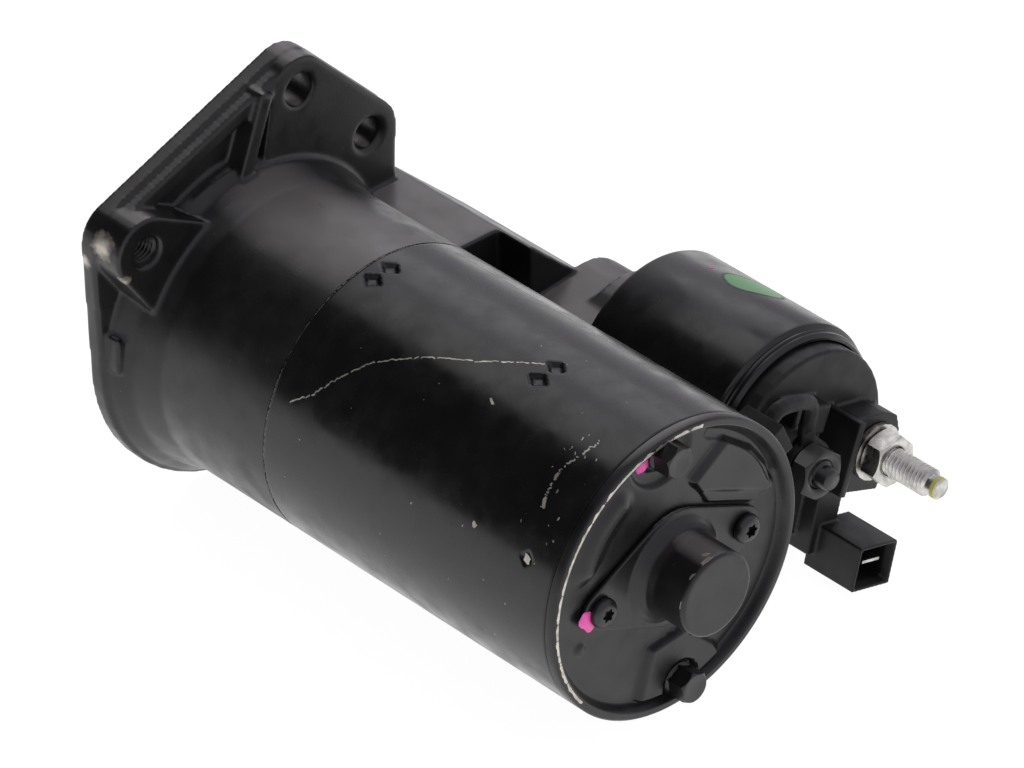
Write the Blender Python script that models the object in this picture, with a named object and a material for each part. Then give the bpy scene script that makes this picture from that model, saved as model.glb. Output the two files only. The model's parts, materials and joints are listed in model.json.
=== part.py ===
"""Starter motor with a planetary gear train and a sliding pinion.

Every constant is in millimetres or degrees and the meshes are built in metres.
The motor frame has its origin on the motor axis at the mounting face of the flange,
+X towards the commutator end, +Z up and the solenoid on the +Y side.
"""
import math

import bmesh
import bpy
from mathutils import Matrix, Vector

MM = 0.001
GAP = 0.3

# Driving dimensions
YOKE_R = 41.5
YOKE_WALL = 3.0
SEAM_X = 59.6
COVER_X = 163.8
COVER_RIM_X = 166.8
COVER_FACE_X = 164.0
COVER_INNER_X = 161.3
BEARING_CAP_X = 181.3
BEARING_CAP_R = 11.7

FLANGE_T = 5.0
FLANGE_LOWER_R = 48.3
HOLE_UPPER = (16.0, 61.2)
HOLE_RIGHT = (39.8, 37.6)
HOLE_THREADED = (-39.9, 38.4)
FLANGE_CORNER_R = 10.0
HOLE_PAD_X = 10.0
THREADED_PAD_X = 14.5
PLAIN_HOLE_R = 4.7
CHAMFERED_HOLE_R = 4.2
THREADED_HOLE_R = 3.4

SOLENOID_Y = 72.8
SOLENOID_Z = -10.3
SOLENOID_R = 30.0
SOLENOID_X = (82.5, 134.5)
SOLENOID_CRIMP_X = 131.0
CAP_FACE_X = 139.7
CAP_R = 26.5
BATTERY_STUD = (88.5, -15.0)
BATTERY_STUD_END = 172.5
MOTOR_STUD = (60.5, -5.0)
MOTOR_STUD_END = 161.0
STUD_R = 4.0

BOLT_ANGLE = 95.0
BOLT_CIRCLE_R = 35.7
BOLT_R = 2.3
BOLT_SEAT_R = 4.75
BOLT_END_X = 171.0
CAP_SCREW_ANGLE = 2.0
CAP_SCREW_CIRCLE_R = 24.5

GEAR_MODULE = 1.15
SUN_TEETH = 12
PLANET_TEETH = 18
RING_TEETH = 48
PLANET_COUNT = 3
GEAR_X = (62.2, 73.5)
PLANET_ORBIT_R = GEAR_MODULE * (SUN_TEETH + PLANET_TEETH) / 2
PINION_MODULE = 2.5
PINION_TEETH = 10
PINION_X = (-26.0, -9.0)
PRESSURE_ANGLE = 20.0

BORE_R = 38.2
SHAFT_R = 6.6
NECK_R = 11.3
LEVER_PIVOT_X = 43.0
LEVER_LONG_ARM = 42.9
LEVER_SHORT_ARM = 30.6
LEVER_REST_TILT = 9.4

MAGNET_COUNT = 6
MAGNET_SPAN = 46.0
MAGNET_X = (88.0, 140.0)
COMMUTATOR_R = 17.0
COMMUTATOR_X = (145.0, 156.0)
BRUSH_COUNT = 4
BRUSH_FIRST_ANGLE = 45.0

# The collar and the front of the solenoid case hold the return spring between them.
COLLAR_X = (56.5, 59.0)
COLLAR_R = 11.4
CASE_MOUTH_R = 10.2
PLUNGER_SPRING_R = 11.0
PLUNGER_SPRING_WIRE = 0.6
PLUNGER_SPRING_TURNS = 5
CONTACT_X = (129.0, 130.6)
CONTACT_SPRING_LENGTH = 5.6
CONTACT_SPRING_R = 2.6
CONTACT_SPRING_WIRE = 0.3
CONTACT_SPRING_TURNS = 3

CONNECTOR_CENTRE = (78.3, -40.6)
CONNECTOR_X = (142.0, 160.0)
CONNECTOR_SIZE = (13.8, 12.5)
CONNECTOR_TILT = -14.0
CONNECTOR_WALL = 1.5
CONNECTOR_DEPTH = 11.0
BLADE_SIZE = (6.3, 0.8)
BLADE_RAISE = 0.9
BLADE_RECESS = 2.0

# The world origin is the middle of the bounding box's base.
PART_MIN_X = PINION_X[0]
PART_MAX_X = BEARING_CAP_X
PART_MIN_Y = HOLE_THREADED[0] - FLANGE_CORNER_R
PART_MAX_Y = SOLENOID_Y + SOLENOID_R
ORIGIN = Vector((-(PART_MIN_X + PART_MAX_X) / 2, -(PART_MIN_Y + PART_MAX_Y) / 2, FLANGE_LOWER_R))

MATERIALS = {
    "cast_black": ((0.022, 0.022, 0.024, 1), 0.42, 0.35),
    "tube_black": ((0.016, 0.016, 0.018, 1), 0.36, 0.45),
    "plastic_black": ((0.02, 0.02, 0.022, 1), 0.5, 0.0),
    "zinc": ((0.62, 0.62, 0.6, 1), 0.3, 1.0),
    "steel": ((0.45, 0.45, 0.46, 1), 0.35, 1.0),
    "black_steel": ((0.03, 0.03, 0.032, 1), 0.4, 0.3),
    "copper": ((0.65, 0.28, 0.14, 1), 0.35, 1.0),
    "bronze": ((0.5, 0.32, 0.13, 1), 0.4, 1.0),
    "ferrite": ((0.06, 0.06, 0.065, 1), 0.7, 0.1),
    "carbon": ((0.03, 0.025, 0.025, 1), 0.6, 0.3),
    "rubber": ((0.012, 0.012, 0.012, 1), 0.8, 0.0),
}


def clear_scene():
    for obj in list(bpy.data.objects):
        bpy.data.objects.remove(obj)


def make_material(name):
    material = bpy.data.materials.get(name)
    if material:
        return material
    color, roughness, metallic = MATERIALS[name]
    material = bpy.data.materials.new(name)
    material.use_nodes = True
    shader = material.node_tree.nodes["Principled BSDF"]
    shader.inputs["Base Color"].default_value = color
    shader.inputs["Roughness"].default_value = roughness
    shader.inputs["Metallic"].default_value = metallic
    return material


# Outlines are lists of (y, z) points, anticlockwise when seen from +X.
def polar(radius, degrees, centre=(0.0, 0.0)):
    angle = math.radians(degrees)
    return (centre[0] + radius * math.cos(angle), centre[1] + radius * math.sin(angle))


def circle(radius, centre=(0.0, 0.0), segments=32):
    return [polar(radius, 360 * i / segments, centre) for i in range(segments)]


def hull(*outlines):
    """Convex outline round several outlines."""
    points = sorted({(round(y, 5), round(z, 5)) for outline in outlines for y, z in outline})

    def half(ordered):
        chain = []
        for p in ordered:
            while len(chain) > 1 and turn(chain[-2], chain[-1], p) <= 1e-9:
                chain.pop()
            chain.append(p)
        return chain[:-1]

    return half(points) + half(points[::-1])


def turn(a, b, c):
    return (b[0] - a[0]) * (c[1] - a[1]) - (b[1] - a[1]) * (c[0] - a[0])


def rectangle(width, height, centre=(0.0, 0.0), tilt=0.0):
    """Outline of a rectangle whose width runs at tilt degrees from +Y."""
    y_axis = polar(1, tilt)
    z_axis = polar(1, tilt + 90)
    corners = [(-1, -1), (1, -1), (1, 1), (-1, 1)]
    return [(centre[0] + a * width / 2 * y_axis[0] + b * height / 2 * z_axis[0],
             centre[1] + a * width / 2 * y_axis[1] + b * height / 2 * z_axis[1]) for a, b in corners]


def hexagon(across_flats, centre, turn_degrees=0.0):
    radius = across_flats / math.sqrt(3)
    return [polar(radius, turn_degrees + 60 * i, centre) for i in range(6)]


def arc_band(inner, outer, middle, span, segments=8):
    """Outline of a ring segment."""
    angles = [middle - span / 2 + span * i / segments for i in range(segments + 1)]
    return [polar(outer, a) for a in angles] + [polar(inner, a) for a in reversed(angles)]


def gear_outline(teeth, module, first_angle=0.0, addendum=0.85, dedendum=1.25, thickness=0.4,
                 centre=(0.0, 0.0)):
    """Spur gear outline with straight-sided teeth, a tooth centred on first_angle."""
    pitch_r = teeth * module / 2
    pitch_angle = 360 / teeth
    half_pitch_tooth = pitch_angle * thickness / 2
    flank_slope = math.degrees(math.tan(math.radians(PRESSURE_ANGLE)) * module / pitch_r)
    tip_r = pitch_r + addendum * module
    root_r = pitch_r - dedendum * module
    tip_half = half_pitch_tooth - flank_slope * addendum
    root_half = half_pitch_tooth + flank_slope * dedendum
    points = []
    for i in range(teeth):
        middle = first_angle + i * pitch_angle
        points.append(polar(root_r, middle - root_half, centre))
        points.append(polar(tip_r, middle - tip_half, centre))
        points.append(polar(tip_r, middle + tip_half, centre))
        points.append(polar(root_r, middle + root_half, centre))
    return points


def ring_tooth_space_outline(teeth, module, first_angle):
    """Inner outline of the ring gear: a gear-shaped hole, wider than the teeth that run in it."""
    return gear_outline(teeth, module, first_angle, addendum=1.25, dedendum=0.75, thickness=0.6)


# Meshes
def new_object(name, bm, material, origin=(0.0, 0.0, 0.0), smooth_angle=35.0):
    bmesh.ops.recalc_face_normals(bm, faces=bm.faces)
    if bm.calc_volume(signed=True) < 0:
        bmesh.ops.reverse_faces(bm, faces=bm.faces)
    bmesh.ops.transform(bm, matrix=Matrix.Scale(MM, 4), verts=bm.verts)
    mesh = bpy.data.meshes.new(name)
    bm.to_mesh(mesh)
    bm.free()
    obj = bpy.data.objects.new(name, mesh)
    bpy.context.scene.collection.objects.link(obj)
    mesh.materials.append(make_material(material))
    finish(obj, origin, smooth_angle)
    return obj


def finish(obj, origin=(0.0, 0.0, 0.0), smooth_angle=35.0):
    """Shade the object and move its own origin to a point of the motor frame."""
    offset = Vector(origin) * MM
    obj.data.transform(Matrix.Translation(-offset))
    obj.location = offset
    obj.data.shade_smooth()
    obj.data.set_sharp_from_angle(angle=math.radians(smooth_angle))


def place(obj, holder):
    obj.parent = holder


def extruded_bmesh(outline, x0, x1, bm=None):
    bm = bm or bmesh.new()
    low = [bm.verts.new((x0, y, z)) for y, z in outline]
    high = [bm.verts.new((x1, y, z)) for y, z in outline]
    bm.faces.new(low[::-1])
    bm.faces.new(high)
    for i in range(len(outline)):
        j = (i + 1) % len(outline)
        bm.faces.new((low[i], low[j], high[j], high[i]))
    return bm


def turned_bmesh(profile, segments=32, centre=(0.0, 0.0)):
    """Turn a closed profile of (x, radius) points round the X axis through centre."""
    bm = bmesh.new()
    rings = []
    for x, radius in profile:
        if radius < 1e-6:
            rings.append([bm.verts.new((x, centre[0], centre[1]))] * segments)
        else:
            points = circle(radius, centre, segments)
            rings.append([bm.verts.new((x, y, z)) for y, z in points])
    count = len(profile)
    for k in range(count):
        here, there = rings[k], rings[(k + 1) % count]
        for i in range(segments):
            j = (i + 1) % segments
            corners = list(dict.fromkeys((here[i], here[j], there[j], there[i])))
            if len(corners) > 2:
                bm.faces.new(corners)
    return bm


def extruded(name, outline, x0, x1, material, origin=(0.0, 0.0, 0.0), smooth_angle=35.0):
    return new_object(name, extruded_bmesh(outline, x0, x1), material, origin, smooth_angle)


def turned(name, profile, material, segments=32, centre=(0.0, 0.0), origin=(0.0, 0.0, 0.0),
           smooth_angle=35.0):
    return new_object(name, turned_bmesh(profile, segments, centre), material, origin, smooth_angle)


def combine(target, operation, bm):
    """Join or cut the target with a temporary solid, then remove the solid."""
    tool = new_object("tool", bm, "steel")
    modifier = target.modifiers.new("shape", "BOOLEAN")
    modifier.operation = operation
    modifier.object = tool
    modifier.solver = "EXACT"
    bpy.context.view_layer.update()
    evaluated = target.evaluated_get(bpy.context.evaluated_depsgraph_get())
    mesh = bpy.data.meshes.new_from_object(evaluated)
    target.modifiers.clear()
    target.data = mesh
    bpy.data.objects.remove(tool)


def join(target, bm):
    combine(target, "UNION", bm)


def cut(target, bm):
    combine(target, "DIFFERENCE", bm)


def clean(obj, smooth_angle=35.0):
    """Merge doubled points and drop zero-area faces after cutting, then shade again."""
    bm = bmesh.new()
    bm.from_mesh(obj.data)
    bmesh.ops.remove_doubles(bm, verts=bm.verts, dist=0.00002)
    bmesh.ops.dissolve_degenerate(bm, dist=0.00001, edges=bm.edges)
    bmesh.ops.dissolve_limit(bm, angle_limit=math.radians(0.3), verts=bm.verts, edges=bm.edges)
    bmesh.ops.triangulate(bm, faces=[f for f in bm.faces if len(f.verts) > 4])
    bm.to_mesh(obj.data)
    bm.free()
    obj.data.shade_smooth()
    obj.data.set_sharp_from_angle(angle=math.radians(smooth_angle))


def coil_bmesh(centre, direction, length, radius, wire, turns, steps, sides):
    """Closed helical wire along direction, starting at centre."""
    bm = bmesh.new()
    axis = Vector(direction).normalized()
    side = axis.orthogonal().normalized()
    other = axis.cross(side)
    total = int(turns * steps)
    rings = []
    for k in range(total + 1):
        angle = 2 * math.pi * k / steps
        out = math.cos(angle) * side + math.sin(angle) * other
        point = Vector(centre) + axis * (wire + (length - 2 * wire) * k / total) + out * radius
        rings.append([bm.verts.new(point + out * wire * math.cos(t) + axis * wire * math.sin(t))
                      for t in (2 * math.pi * s / sides for s in range(sides))])
    for a, b in zip(rings, rings[1:]):
        for s in range(sides):
            t = (s + 1) % sides
            bm.faces.new((a[s], a[t], b[t], b[s]))
    bm.faces.new(rings[0][::-1])
    bm.faces.new(rings[-1])
    return bm


# Housing
def flange_outline():
    corners = (HOLE_UPPER, HOLE_RIGHT, HOLE_THREADED)
    rounds = [circle(FLANGE_CORNER_R, centre, 24) for centre in corners]
    return hull(circle(FLANGE_LOWER_R, segments=48), *rounds)


def solenoid_point(distance, degrees):
    return polar(distance, degrees, (SOLENOID_Y, SOLENOID_Z))


SOLENOID_ANGLE = math.degrees(math.atan2(SOLENOID_Z, SOLENOID_Y))
SCREW_CIRCLE_R = 22.5
SCREW_POINTS = [solenoid_point(SCREW_CIRCLE_R, SOLENOID_ANGLE + a) for a in (0, 180)]
ARM_TOP_Z = 20.0
ARM_SIDE_Y = 55.0
NECK_OUTER_R = 16.0
PLUNGER_BORE_R = 12.0
CAVITY_R = 31.0


def lever_slot(x0, x1, start, end, width):
    """Box between the motor axis and the solenoid axis."""
    middle = polar((start + end) / 2, SOLENOID_ANGLE)
    return extruded_bmesh(rectangle(end - start, width, middle, SOLENOID_ANGLE), x0, x1)


def add_flange_detail(housing):
    pad_corners = [circle(FLANGE_CORNER_R - 0.4, hole, 24) for hole in (HOLE_UPPER, HOLE_RIGHT)]
    hole_pad = hull(*pad_corners, [(2.0, 36.0), (48.6, 12.0)])
    join(housing, extruded_bmesh(hole_pad, 2.0, HOLE_PAD_X))
    threaded_pad = hull(circle(FLANGE_CORNER_R - 0.3, HOLE_THREADED, 24), [(-15.0, 36.0), (-34.0, 13.0)])
    join(housing, extruded_bmesh(threaded_pad, 2.1, THREADED_PAD_X))
    rib = rectangle(23.0, 4.2, (0.6, 54.6), 70.0)
    join(housing, extruded_bmesh(rib, 2.2, 11.5))
    middle = ((HOLE_UPPER[0] + HOLE_THREADED[0]) / 2, (HOLE_UPPER[1] + HOLE_THREADED[1]) / 2)
    edge_angle = math.degrees(math.atan2(HOLE_UPPER[1] - HOLE_THREADED[1], HOLE_UPPER[0] - HOLE_THREADED[0]))
    rim_middle = polar(FLANGE_CORNER_R - 3.4, edge_angle + 90, middle)
    join(housing, extruded_bmesh(rectangle(56.0, 5.0, rim_middle, edge_angle), 2.3, 9.0))


def add_lever_compartment(housing):
    rounds = [circle(3.5, (ARM_SIDE_Y - 3.5, ARM_TOP_Z - 3.5), 16), circle(5.0, (46.0, -27.0), 16),
              circle(9.2, (SOLENOID_Y, SOLENOID_Z), 24)]
    arm = hull(*rounds, [(24.0, ARM_TOP_Z), (24.0, -32.0)])
    join(housing, extruded_bmesh(arm, 2.5, 58.0))
    pocket = [(30.0, 3.5), (52.2, 3.5), (52.2, 30.0), (30.0, 30.0)]
    cut(housing, extruded_bmesh(pocket, 46.0, 62.0))
    neck = hull(circle(NECK_OUTER_R, (SOLENOID_Y, SOLENOID_Z), 32), [(46.0, -18.0), (46.0, 3.0)])
    join(housing, extruded_bmesh(neck, 56.0, 80.0))
    web = hull(*[circle(5.6, p, 16) for p in SCREW_POINTS], circle(18.5, (SOLENOID_Y, SOLENOID_Z), 32))
    join(housing, extruded_bmesh(web, 70.0, SOLENOID_X[0] - GAP))


def drive_housing():
    housing = extruded("drive_housing", flange_outline(), 0.0, FLANGE_T, "cast_black")
    pilot_r = 35.0
    body = [(-4.0, 0), (-4.0, pilot_r), (2.4, pilot_r), (2.4, 47.6), (6.5, 46.4), (11.0, 43.6),
            (20.0, YOKE_R), (SEAM_X, YOKE_R), (SEAM_X, 0)]
    add_flange_detail(housing)
    add_lever_compartment(housing)
    # The round body comes after the pocket, which may not bite into it.
    join(housing, turned_bmesh(body, 48))
    bore = [(-5.0, 0), (-5.0, 19.2), (12.2, 19.2), (12.2, CAVITY_R), (SEAM_X + 1, CAVITY_R), (SEAM_X + 1, 0)]
    cut(housing, turned_bmesh(bore, 32))
    cut(housing, lever_slot(22.0, 58.5, 20.0, 80.6, 13.4))
    plunger_bore = [(50.0, 0), (50.0, PLUNGER_BORE_R), (84.0, PLUNGER_BORE_R), (84.0, 0)]
    cut(housing, turned_bmesh(plunger_bore, 32, (SOLENOID_Y, SOLENOID_Z)))
    cut(housing, turned_bmesh([(-1, 0), (-1, PLAIN_HOLE_R), (12, PLAIN_HOLE_R), (12, 0)], 32, HOLE_UPPER))
    chamfered = [(-1, 0), (-1, CHAMFERED_HOLE_R), (8.7, CHAMFERED_HOLE_R), (10.1, 5.6), (12, 5.6), (12, 0)]
    cut(housing, turned_bmesh(chamfered, 32, HOLE_RIGHT))
    threaded = [(-1, 0), (-1, THREADED_HOLE_R), (13.2, THREADED_HOLE_R), (14.6, 4.6), (16, 4.6), (16, 0)]
    cut(housing, turned_bmesh(threaded, 32, HOLE_THREADED))
    for side in (0, 180):
        hole = [(44.0, 0), (44.0, BOLT_R + GAP), (SEAM_X + 1, BOLT_R + GAP), (SEAM_X + 1, 0)]
        cut(housing, turned_bmesh(hole, 16, polar(BOLT_CIRCLE_R, BOLT_ANGLE + side)))
    for point in SCREW_POINTS:
        screw_hole = [(55.0, 0), (55.0, 4.3), (70.0, 4.3), (70.0, 2.4), (84.0, 2.4), (84.0, 0)]
        cut(housing, turned_bmesh(screw_hole, 16, point))
    pivot = Vector((LEVER_PIVOT_X, *polar(LEVER_LONG_ARM, SOLENOID_ANGLE)))
    cut(housing, pin_bmesh(pivot, 2.8, 24.0))
    clean(housing)
    return [housing]


def pin_bmesh(middle, radius, length, sides=20):
    """Round pin across the lever plane, centred on middle."""
    bm = bmesh.new()
    across = Vector((0, *polar(1, SOLENOID_ANGLE + 90)))
    rotation = across.to_track_quat("Z", "Y").to_matrix().to_4x4()
    matrix = Matrix.Translation(middle) @ rotation
    bmesh.ops.create_cone(bm, cap_ends=True, segments=sides, radius1=radius, radius2=radius, depth=length,
                          matrix=matrix)
    return bm


def front_bearing_and_seal():
    bearing = [(2.0, NECK_R + GAP), (2.0, 18.9), (11.8, 18.9), (11.8, NECK_R + GAP)]
    seal = [(-3.6, NECK_R + 0.5), (-3.6, 18.9), (1.6, 18.9), (1.6, NECK_R + 0.5)]
    return [turned("drive_bearing", bearing, "steel", 24), turned("shaft_seal", seal, "rubber", 24)]


# Tube and end cover
def bolt_cutters(obj, radius, x0, x1):
    for side in (0, 180):
        centre = polar(BOLT_CIRCLE_R, BOLT_ANGLE + side)
        cut(obj, turned_bmesh([(x0, 0), (x0, radius), (x1, radius), (x1, 0)], 16, centre))


GROMMET_ANGLE = 24.0
LUG_ANGLE = 85.0
GROMMET_X = (150.0, COVER_X - GAP)


def yoke():
    inner = YOKE_R - YOKE_WALL
    profile = [(SEAM_X + GAP, inner), (SEAM_X + GAP, YOKE_R), (COVER_X - GAP, YOKE_R), (COVER_X - GAP, inner)]
    tube = turned("yoke", profile, "tube_black", 48)
    slot = rectangle(12.0, 10.0, polar(YOKE_R, GROMMET_ANGLE), GROMMET_ANGLE)
    cut(tube, extruded_bmesh(slot, GROMMET_X[0] - GAP, COVER_X + 2))
    clean(tube)
    return [tube]


def magnets():
    pieces = []
    first = BOLT_ANGLE + 180 / MAGNET_COUNT
    for i in range(MAGNET_COUNT):
        outline = arc_band(31.4, BORE_R, first + 360 * i / MAGNET_COUNT, MAGNET_SPAN)
        pieces.append(extruded(f"magnet_{i + 1}", outline, *MAGNET_X, "ferrite"))
    return pieces


def end_cover():
    hole_r = 8.3
    profile = [(COVER_INNER_X, hole_r), (COVER_INNER_X, BORE_R), (COVER_X, BORE_R), (COVER_X, YOKE_R),
               (COVER_RIM_X - 0.5, YOKE_R), (COVER_RIM_X, YOKE_R - 0.5), (COVER_RIM_X, YOKE_R - 1.8),
               (COVER_FACE_X, YOKE_R - 3.2), (COVER_FACE_X, hole_r)]
    cover = turned("end_cover", profile, "cast_black", 48)
    bolt_cutters(cover, BOLT_R + GAP, 160, 168)
    bolt_cutters(cover, BOLT_SEAT_R + GAP, COVER_FACE_X, 168)
    for point in cap_screw_points():
        cut(cover, turned_bmesh([(160, 0), (160, 2.4), (166, 2.4), (166, 0)], 16, point))
    clean(cover)
    return [cover]


def cap_screw_points():
    return [polar(CAP_SCREW_CIRCLE_R, CAP_SCREW_ANGLE + side) for side in (0, 180)]


def bearing_cap():
    plate_x = (COVER_FACE_X + GAP, COVER_FACE_X + 1.6)
    outline = hull(circle(16.5, segments=32), *[circle(5.6, p, 16) for p in cap_screw_points()])
    cap = extruded("bearing_cap", outline, *plate_x, "cast_black")
    dome = [(plate_x[0] + 0.4, 0), (plate_x[0] + 0.4, 14.0), (plate_x[1] + 1.2, 13.0),
            (plate_x[1] + 3.0, 12.0), (plate_x[1] + 5.0, BEARING_CAP_R), (BEARING_CAP_X - 0.8, BEARING_CAP_R),
            (BEARING_CAP_X, BEARING_CAP_R - 0.8), (BEARING_CAP_X, 0)]
    join(cap, turned_bmesh(dome, 24))
    cut(cap, turned_bmesh([(160, 0), (160, 9.4), (BEARING_CAP_X - 2, 9.4), (BEARING_CAP_X - 2, 0)], 32))
    for point in cap_screw_points():
        cut(cap, turned_bmesh([(160, 0), (160, 2.4), (168, 2.4), (168, 0)], 16, point))
    clean(cap)
    return [cap]


def cap_screws():
    seat = COVER_FACE_X + 1.6 + GAP
    profile = [(160.0, 0), (160.0, 2.0), (seat, 2.0), (seat, 4.0), (seat + 1.9, 4.0), (seat + 2.5, 3.2),
               (seat + 2.5, 0)]
    points = cap_screw_points()
    return [turned(f"cap_screw_{i + 1}", profile, "black_steel", 20, point) for i, point in enumerate(points)]


def through_bolts():
    seat = COVER_FACE_X + GAP
    pieces = []
    for i, side in enumerate((0, 180)):
        centre = polar(BOLT_CIRCLE_R, BOLT_ANGLE + side)
        shank = [(46.0, 0), (46.0, BOLT_R), (seat, BOLT_R), (seat, BOLT_SEAT_R), (seat + 1.4, BOLT_SEAT_R),
                 (seat + 1.4, 0)]
        bolt = turned(f"through_bolt_{i + 1}", shank, "black_steel", 20, centre)
        join(bolt, extruded_bmesh(hexagon(8.0, centre, BOLT_ANGLE), seat + 1.0, BOLT_END_X))
        clean(bolt)
        pieces.append(bolt)
    return pieces


def rear_bush():
    profile = [(COVER_INNER_X, 5.3), (COVER_INNER_X, 8.0), (173.0, 8.0), (173.0, 5.3)]
    return [turned("rear_bush", profile, "bronze", 20)]


# Gear train
def ring_first_space_angle():
    planet_first = 180 - 180 / PLANET_TEETH
    return PLANET_TEETH * planet_first / RING_TEETH


def planet_tooth_angle(position):
    return position + 180 - 360 / PLANET_TEETH * (0.5 - SUN_TEETH * position / 360)


def ring_gear():
    gear = extruded("ring_gear", circle(BORE_R, segments=32), 61.8, 75.0, "steel")
    inner = ring_tooth_space_outline(RING_TEETH, GEAR_MODULE, ring_first_space_angle())
    cut(gear, extruded_bmesh(inner, 60.0, 77.0))
    bolt_cutters(gear, 3.1, 61, 76)
    clean(gear)
    return [gear]


def gear_plate():
    plate = turned("gear_plate", [(77.0, 8.6), (77.0, BORE_R), (79.0, BORE_R), (79.0, 8.6)], "steel", 28)
    bolt_cutters(plate, 3.1, 76, 80)
    clean(plate)
    return [plate]


def planet_carrier():
    profile = [(-18.0, 0), (-18.0, SHAFT_R - 0.6), (-17.4, SHAFT_R), (56.5, SHAFT_R), (56.5, 25.0),
               (61.5, 25.0), (61.5, 0)]
    carrier = turned("planet_carrier", profile, "steel", 28)
    for i in range(PLANET_COUNT):
        centre = polar(PLANET_ORBIT_R, 360 * i / PLANET_COUNT)
        join(carrier, turned_bmesh([(60.0, 0), (60.0, 3.2), (73.5, 3.2), (73.5, 0)], 16, centre))
    clean(carrier)
    return [carrier]


def planet_gears():
    pieces = []
    for i in range(PLANET_COUNT):
        position = 360 * i / PLANET_COUNT
        centre = polar(PLANET_ORBIT_R, position)
        outer = gear_outline(PLANET_TEETH, GEAR_MODULE, planet_tooth_angle(position), centre=centre)
        gear = extruded(f"planet_gear_{i + 1}", outer, *GEAR_X, "steel")
        cut(gear, turned_bmesh([(60.0, 0), (60.0, 3.5), (76.0, 3.5), (76.0, 0)], 16, centre))
        finish(gear, (0.0, *centre))
        pieces.append(gear)
    return pieces


def clutch():
    profile = [(27.0, NECK_R + 0.4), (27.0, 22.5), (28.0, 24.0), (43.0, 24.0), (43.0, 11.0), (44.2, 11.0),
               (44.2, 14.0), (45.8, 14.0), (45.8, 10.5), (54.2, 10.5), (54.2, 14.0), (55.6, 14.0),
               (55.6, SHAFT_R + GAP), (38.8, SHAFT_R + GAP), (38.8, 15.5), (29.8, 15.5), (29.8, NECK_R + 0.4)]
    return [turned("clutch", profile, "steel", 20)]


def pinion():
    profile = [(-12.0, 0), (-12.0, 8.0), (-9.5, NECK_R), (30.2, NECK_R), (30.2, 15.1), (38.4, 15.1),
               (38.4, 0)]
    gear = turned("pinion", profile, "steel", 28)
    teeth = gear_outline(PINION_TEETH, PINION_MODULE, 0.0, addendum=0.9, dedendum=1.1, thickness=0.47)
    join(gear, extruded_bmesh(teeth, PINION_X[0], PINION_X[1]))
    x0, x1 = PINION_X[0] - 1, 39.0
    bore_r = SHAFT_R + GAP
    cut(gear, turned_bmesh([(x0, 0), (x0, bore_r), (x1, bore_r), (x1, 0)], 28))
    clean(gear)
    return [gear]


# Armature and brushes
def armature_shaft():
    profile = [(73.0, 0), (73.0, 5.2), (76.0, 7.0), (79.4, 7.5), (157.0, 7.5), (157.0, 5.0), (172.6, 5.0),
               (172.6, 0)]
    shaft = turned("armature_shaft", profile, "steel", 24)
    sun = gear_outline(SUN_TEETH, GEAR_MODULE)
    join(shaft, extruded_bmesh(sun, GEAR_X[0], 74.0))
    clean(shaft)
    return [shaft]


def armature_core():
    slots = 14
    bore_r = 7.8
    step = 360 / slots
    outer = []
    for i in range(slots):
        middle = i * step
        outer += [polar(30.2, middle - step * 0.42), polar(30.2, middle), polar(30.2, middle + step * 0.42)]
        outer += [polar(22.0, middle + step * 0.42), polar(22.0, middle + step * 0.58)]
    core = extruded("armature_core", outer, 88.0, 136.0, "steel")
    cut(core, turned_bmesh([(87.0, 0), (87.0, bore_r), (137.0, bore_r), (137.0, 0)], 28))
    return [core]


def winding_heads():
    front = [(87.7, 7.8), (87.7, 27.0), (84.0, 26.0), (81.0, 20.0), (80.6, 12.0), (81.5, 7.8)]
    rear = [(136.3, 7.8), (142.5, 7.8), (144.2, 13.0), (143.0, 19.0), (140.0, 26.0), (136.3, 27.0)]
    return [turned("winding_front", front, "copper", 20), turned("winding_rear", rear, "copper", 20)]


def commutator():
    x0, x1 = COMMUTATOR_X
    profile = [(x0, 7.8), (x0, 18.5), (x0 + 1.5, 18.5), (x0 + 1.5, COMMUTATOR_R), (x1, COMMUTATOR_R),
               (x1, 7.8)]
    return [turned("commutator", profile, "copper", 24)]


BRUSH_ANGLES = [BRUSH_FIRST_ANGLE + 360 * i / BRUSH_COUNT for i in range(BRUSH_COUNT)]
BRUSH_WIDTH = 7.0
BRUSH_OUTER_R = 26.0
GUIDE_OUTER_R = 36.2


def brush_holder():
    profile = [(157.4, 9.0), (157.4, 37.6), (159.4, 37.6), (159.4, 9.0)]
    plate = turned("brush_holder", profile, "plastic_black", 24)
    bolt_cutters(plate, 3.4, 156, 160)
    wall = 1.3
    inner = BRUSH_WIDTH / 2 + 0.4
    for angle in BRUSH_ANGLES:
        local = [(18.6, -inner - wall), (GUIDE_OUTER_R, -inner - wall), (GUIDE_OUTER_R, inner + wall),
                 (18.6, inner + wall), (18.6, inner), (GUIDE_OUTER_R - wall, inner),
                 (GUIDE_OUTER_R - wall, -inner), (18.6, -inner)]
        radial, across = polar(1, angle), polar(1, angle + 90)
        outline = [(r * radial[0] + t * across[0], r * radial[1] + t * across[1]) for r, t in local]
        join(plate, extruded_bmesh(outline, 148.0, 158.0))
    clean(plate)
    return [plate]


def brushes():
    pieces = []
    for i, angle in enumerate(BRUSH_ANGLES):
        inner_r = COMMUTATOR_R + GAP
        middle = polar((BRUSH_OUTER_R + inner_r) / 2, angle)
        outline = rectangle(BRUSH_OUTER_R - inner_r, BRUSH_WIDTH, middle, angle)
        pieces.append(extruded(f"brush_{i + 1}", outline, 148.5, 155.6, "carbon"))
        start = (152.0, *polar(BRUSH_OUTER_R + GAP, angle))
        direction = (0.0, *polar(1, angle))
        length = GUIDE_OUTER_R - 1.3 - GAP - BRUSH_OUTER_R - GAP
        bm = coil_bmesh(start, direction, length, 2.4, 0.45, 3, 8, 4)
        pieces.append(new_object(f"brush_spring_{i + 1}", bm, "steel"))
    return pieces


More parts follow.
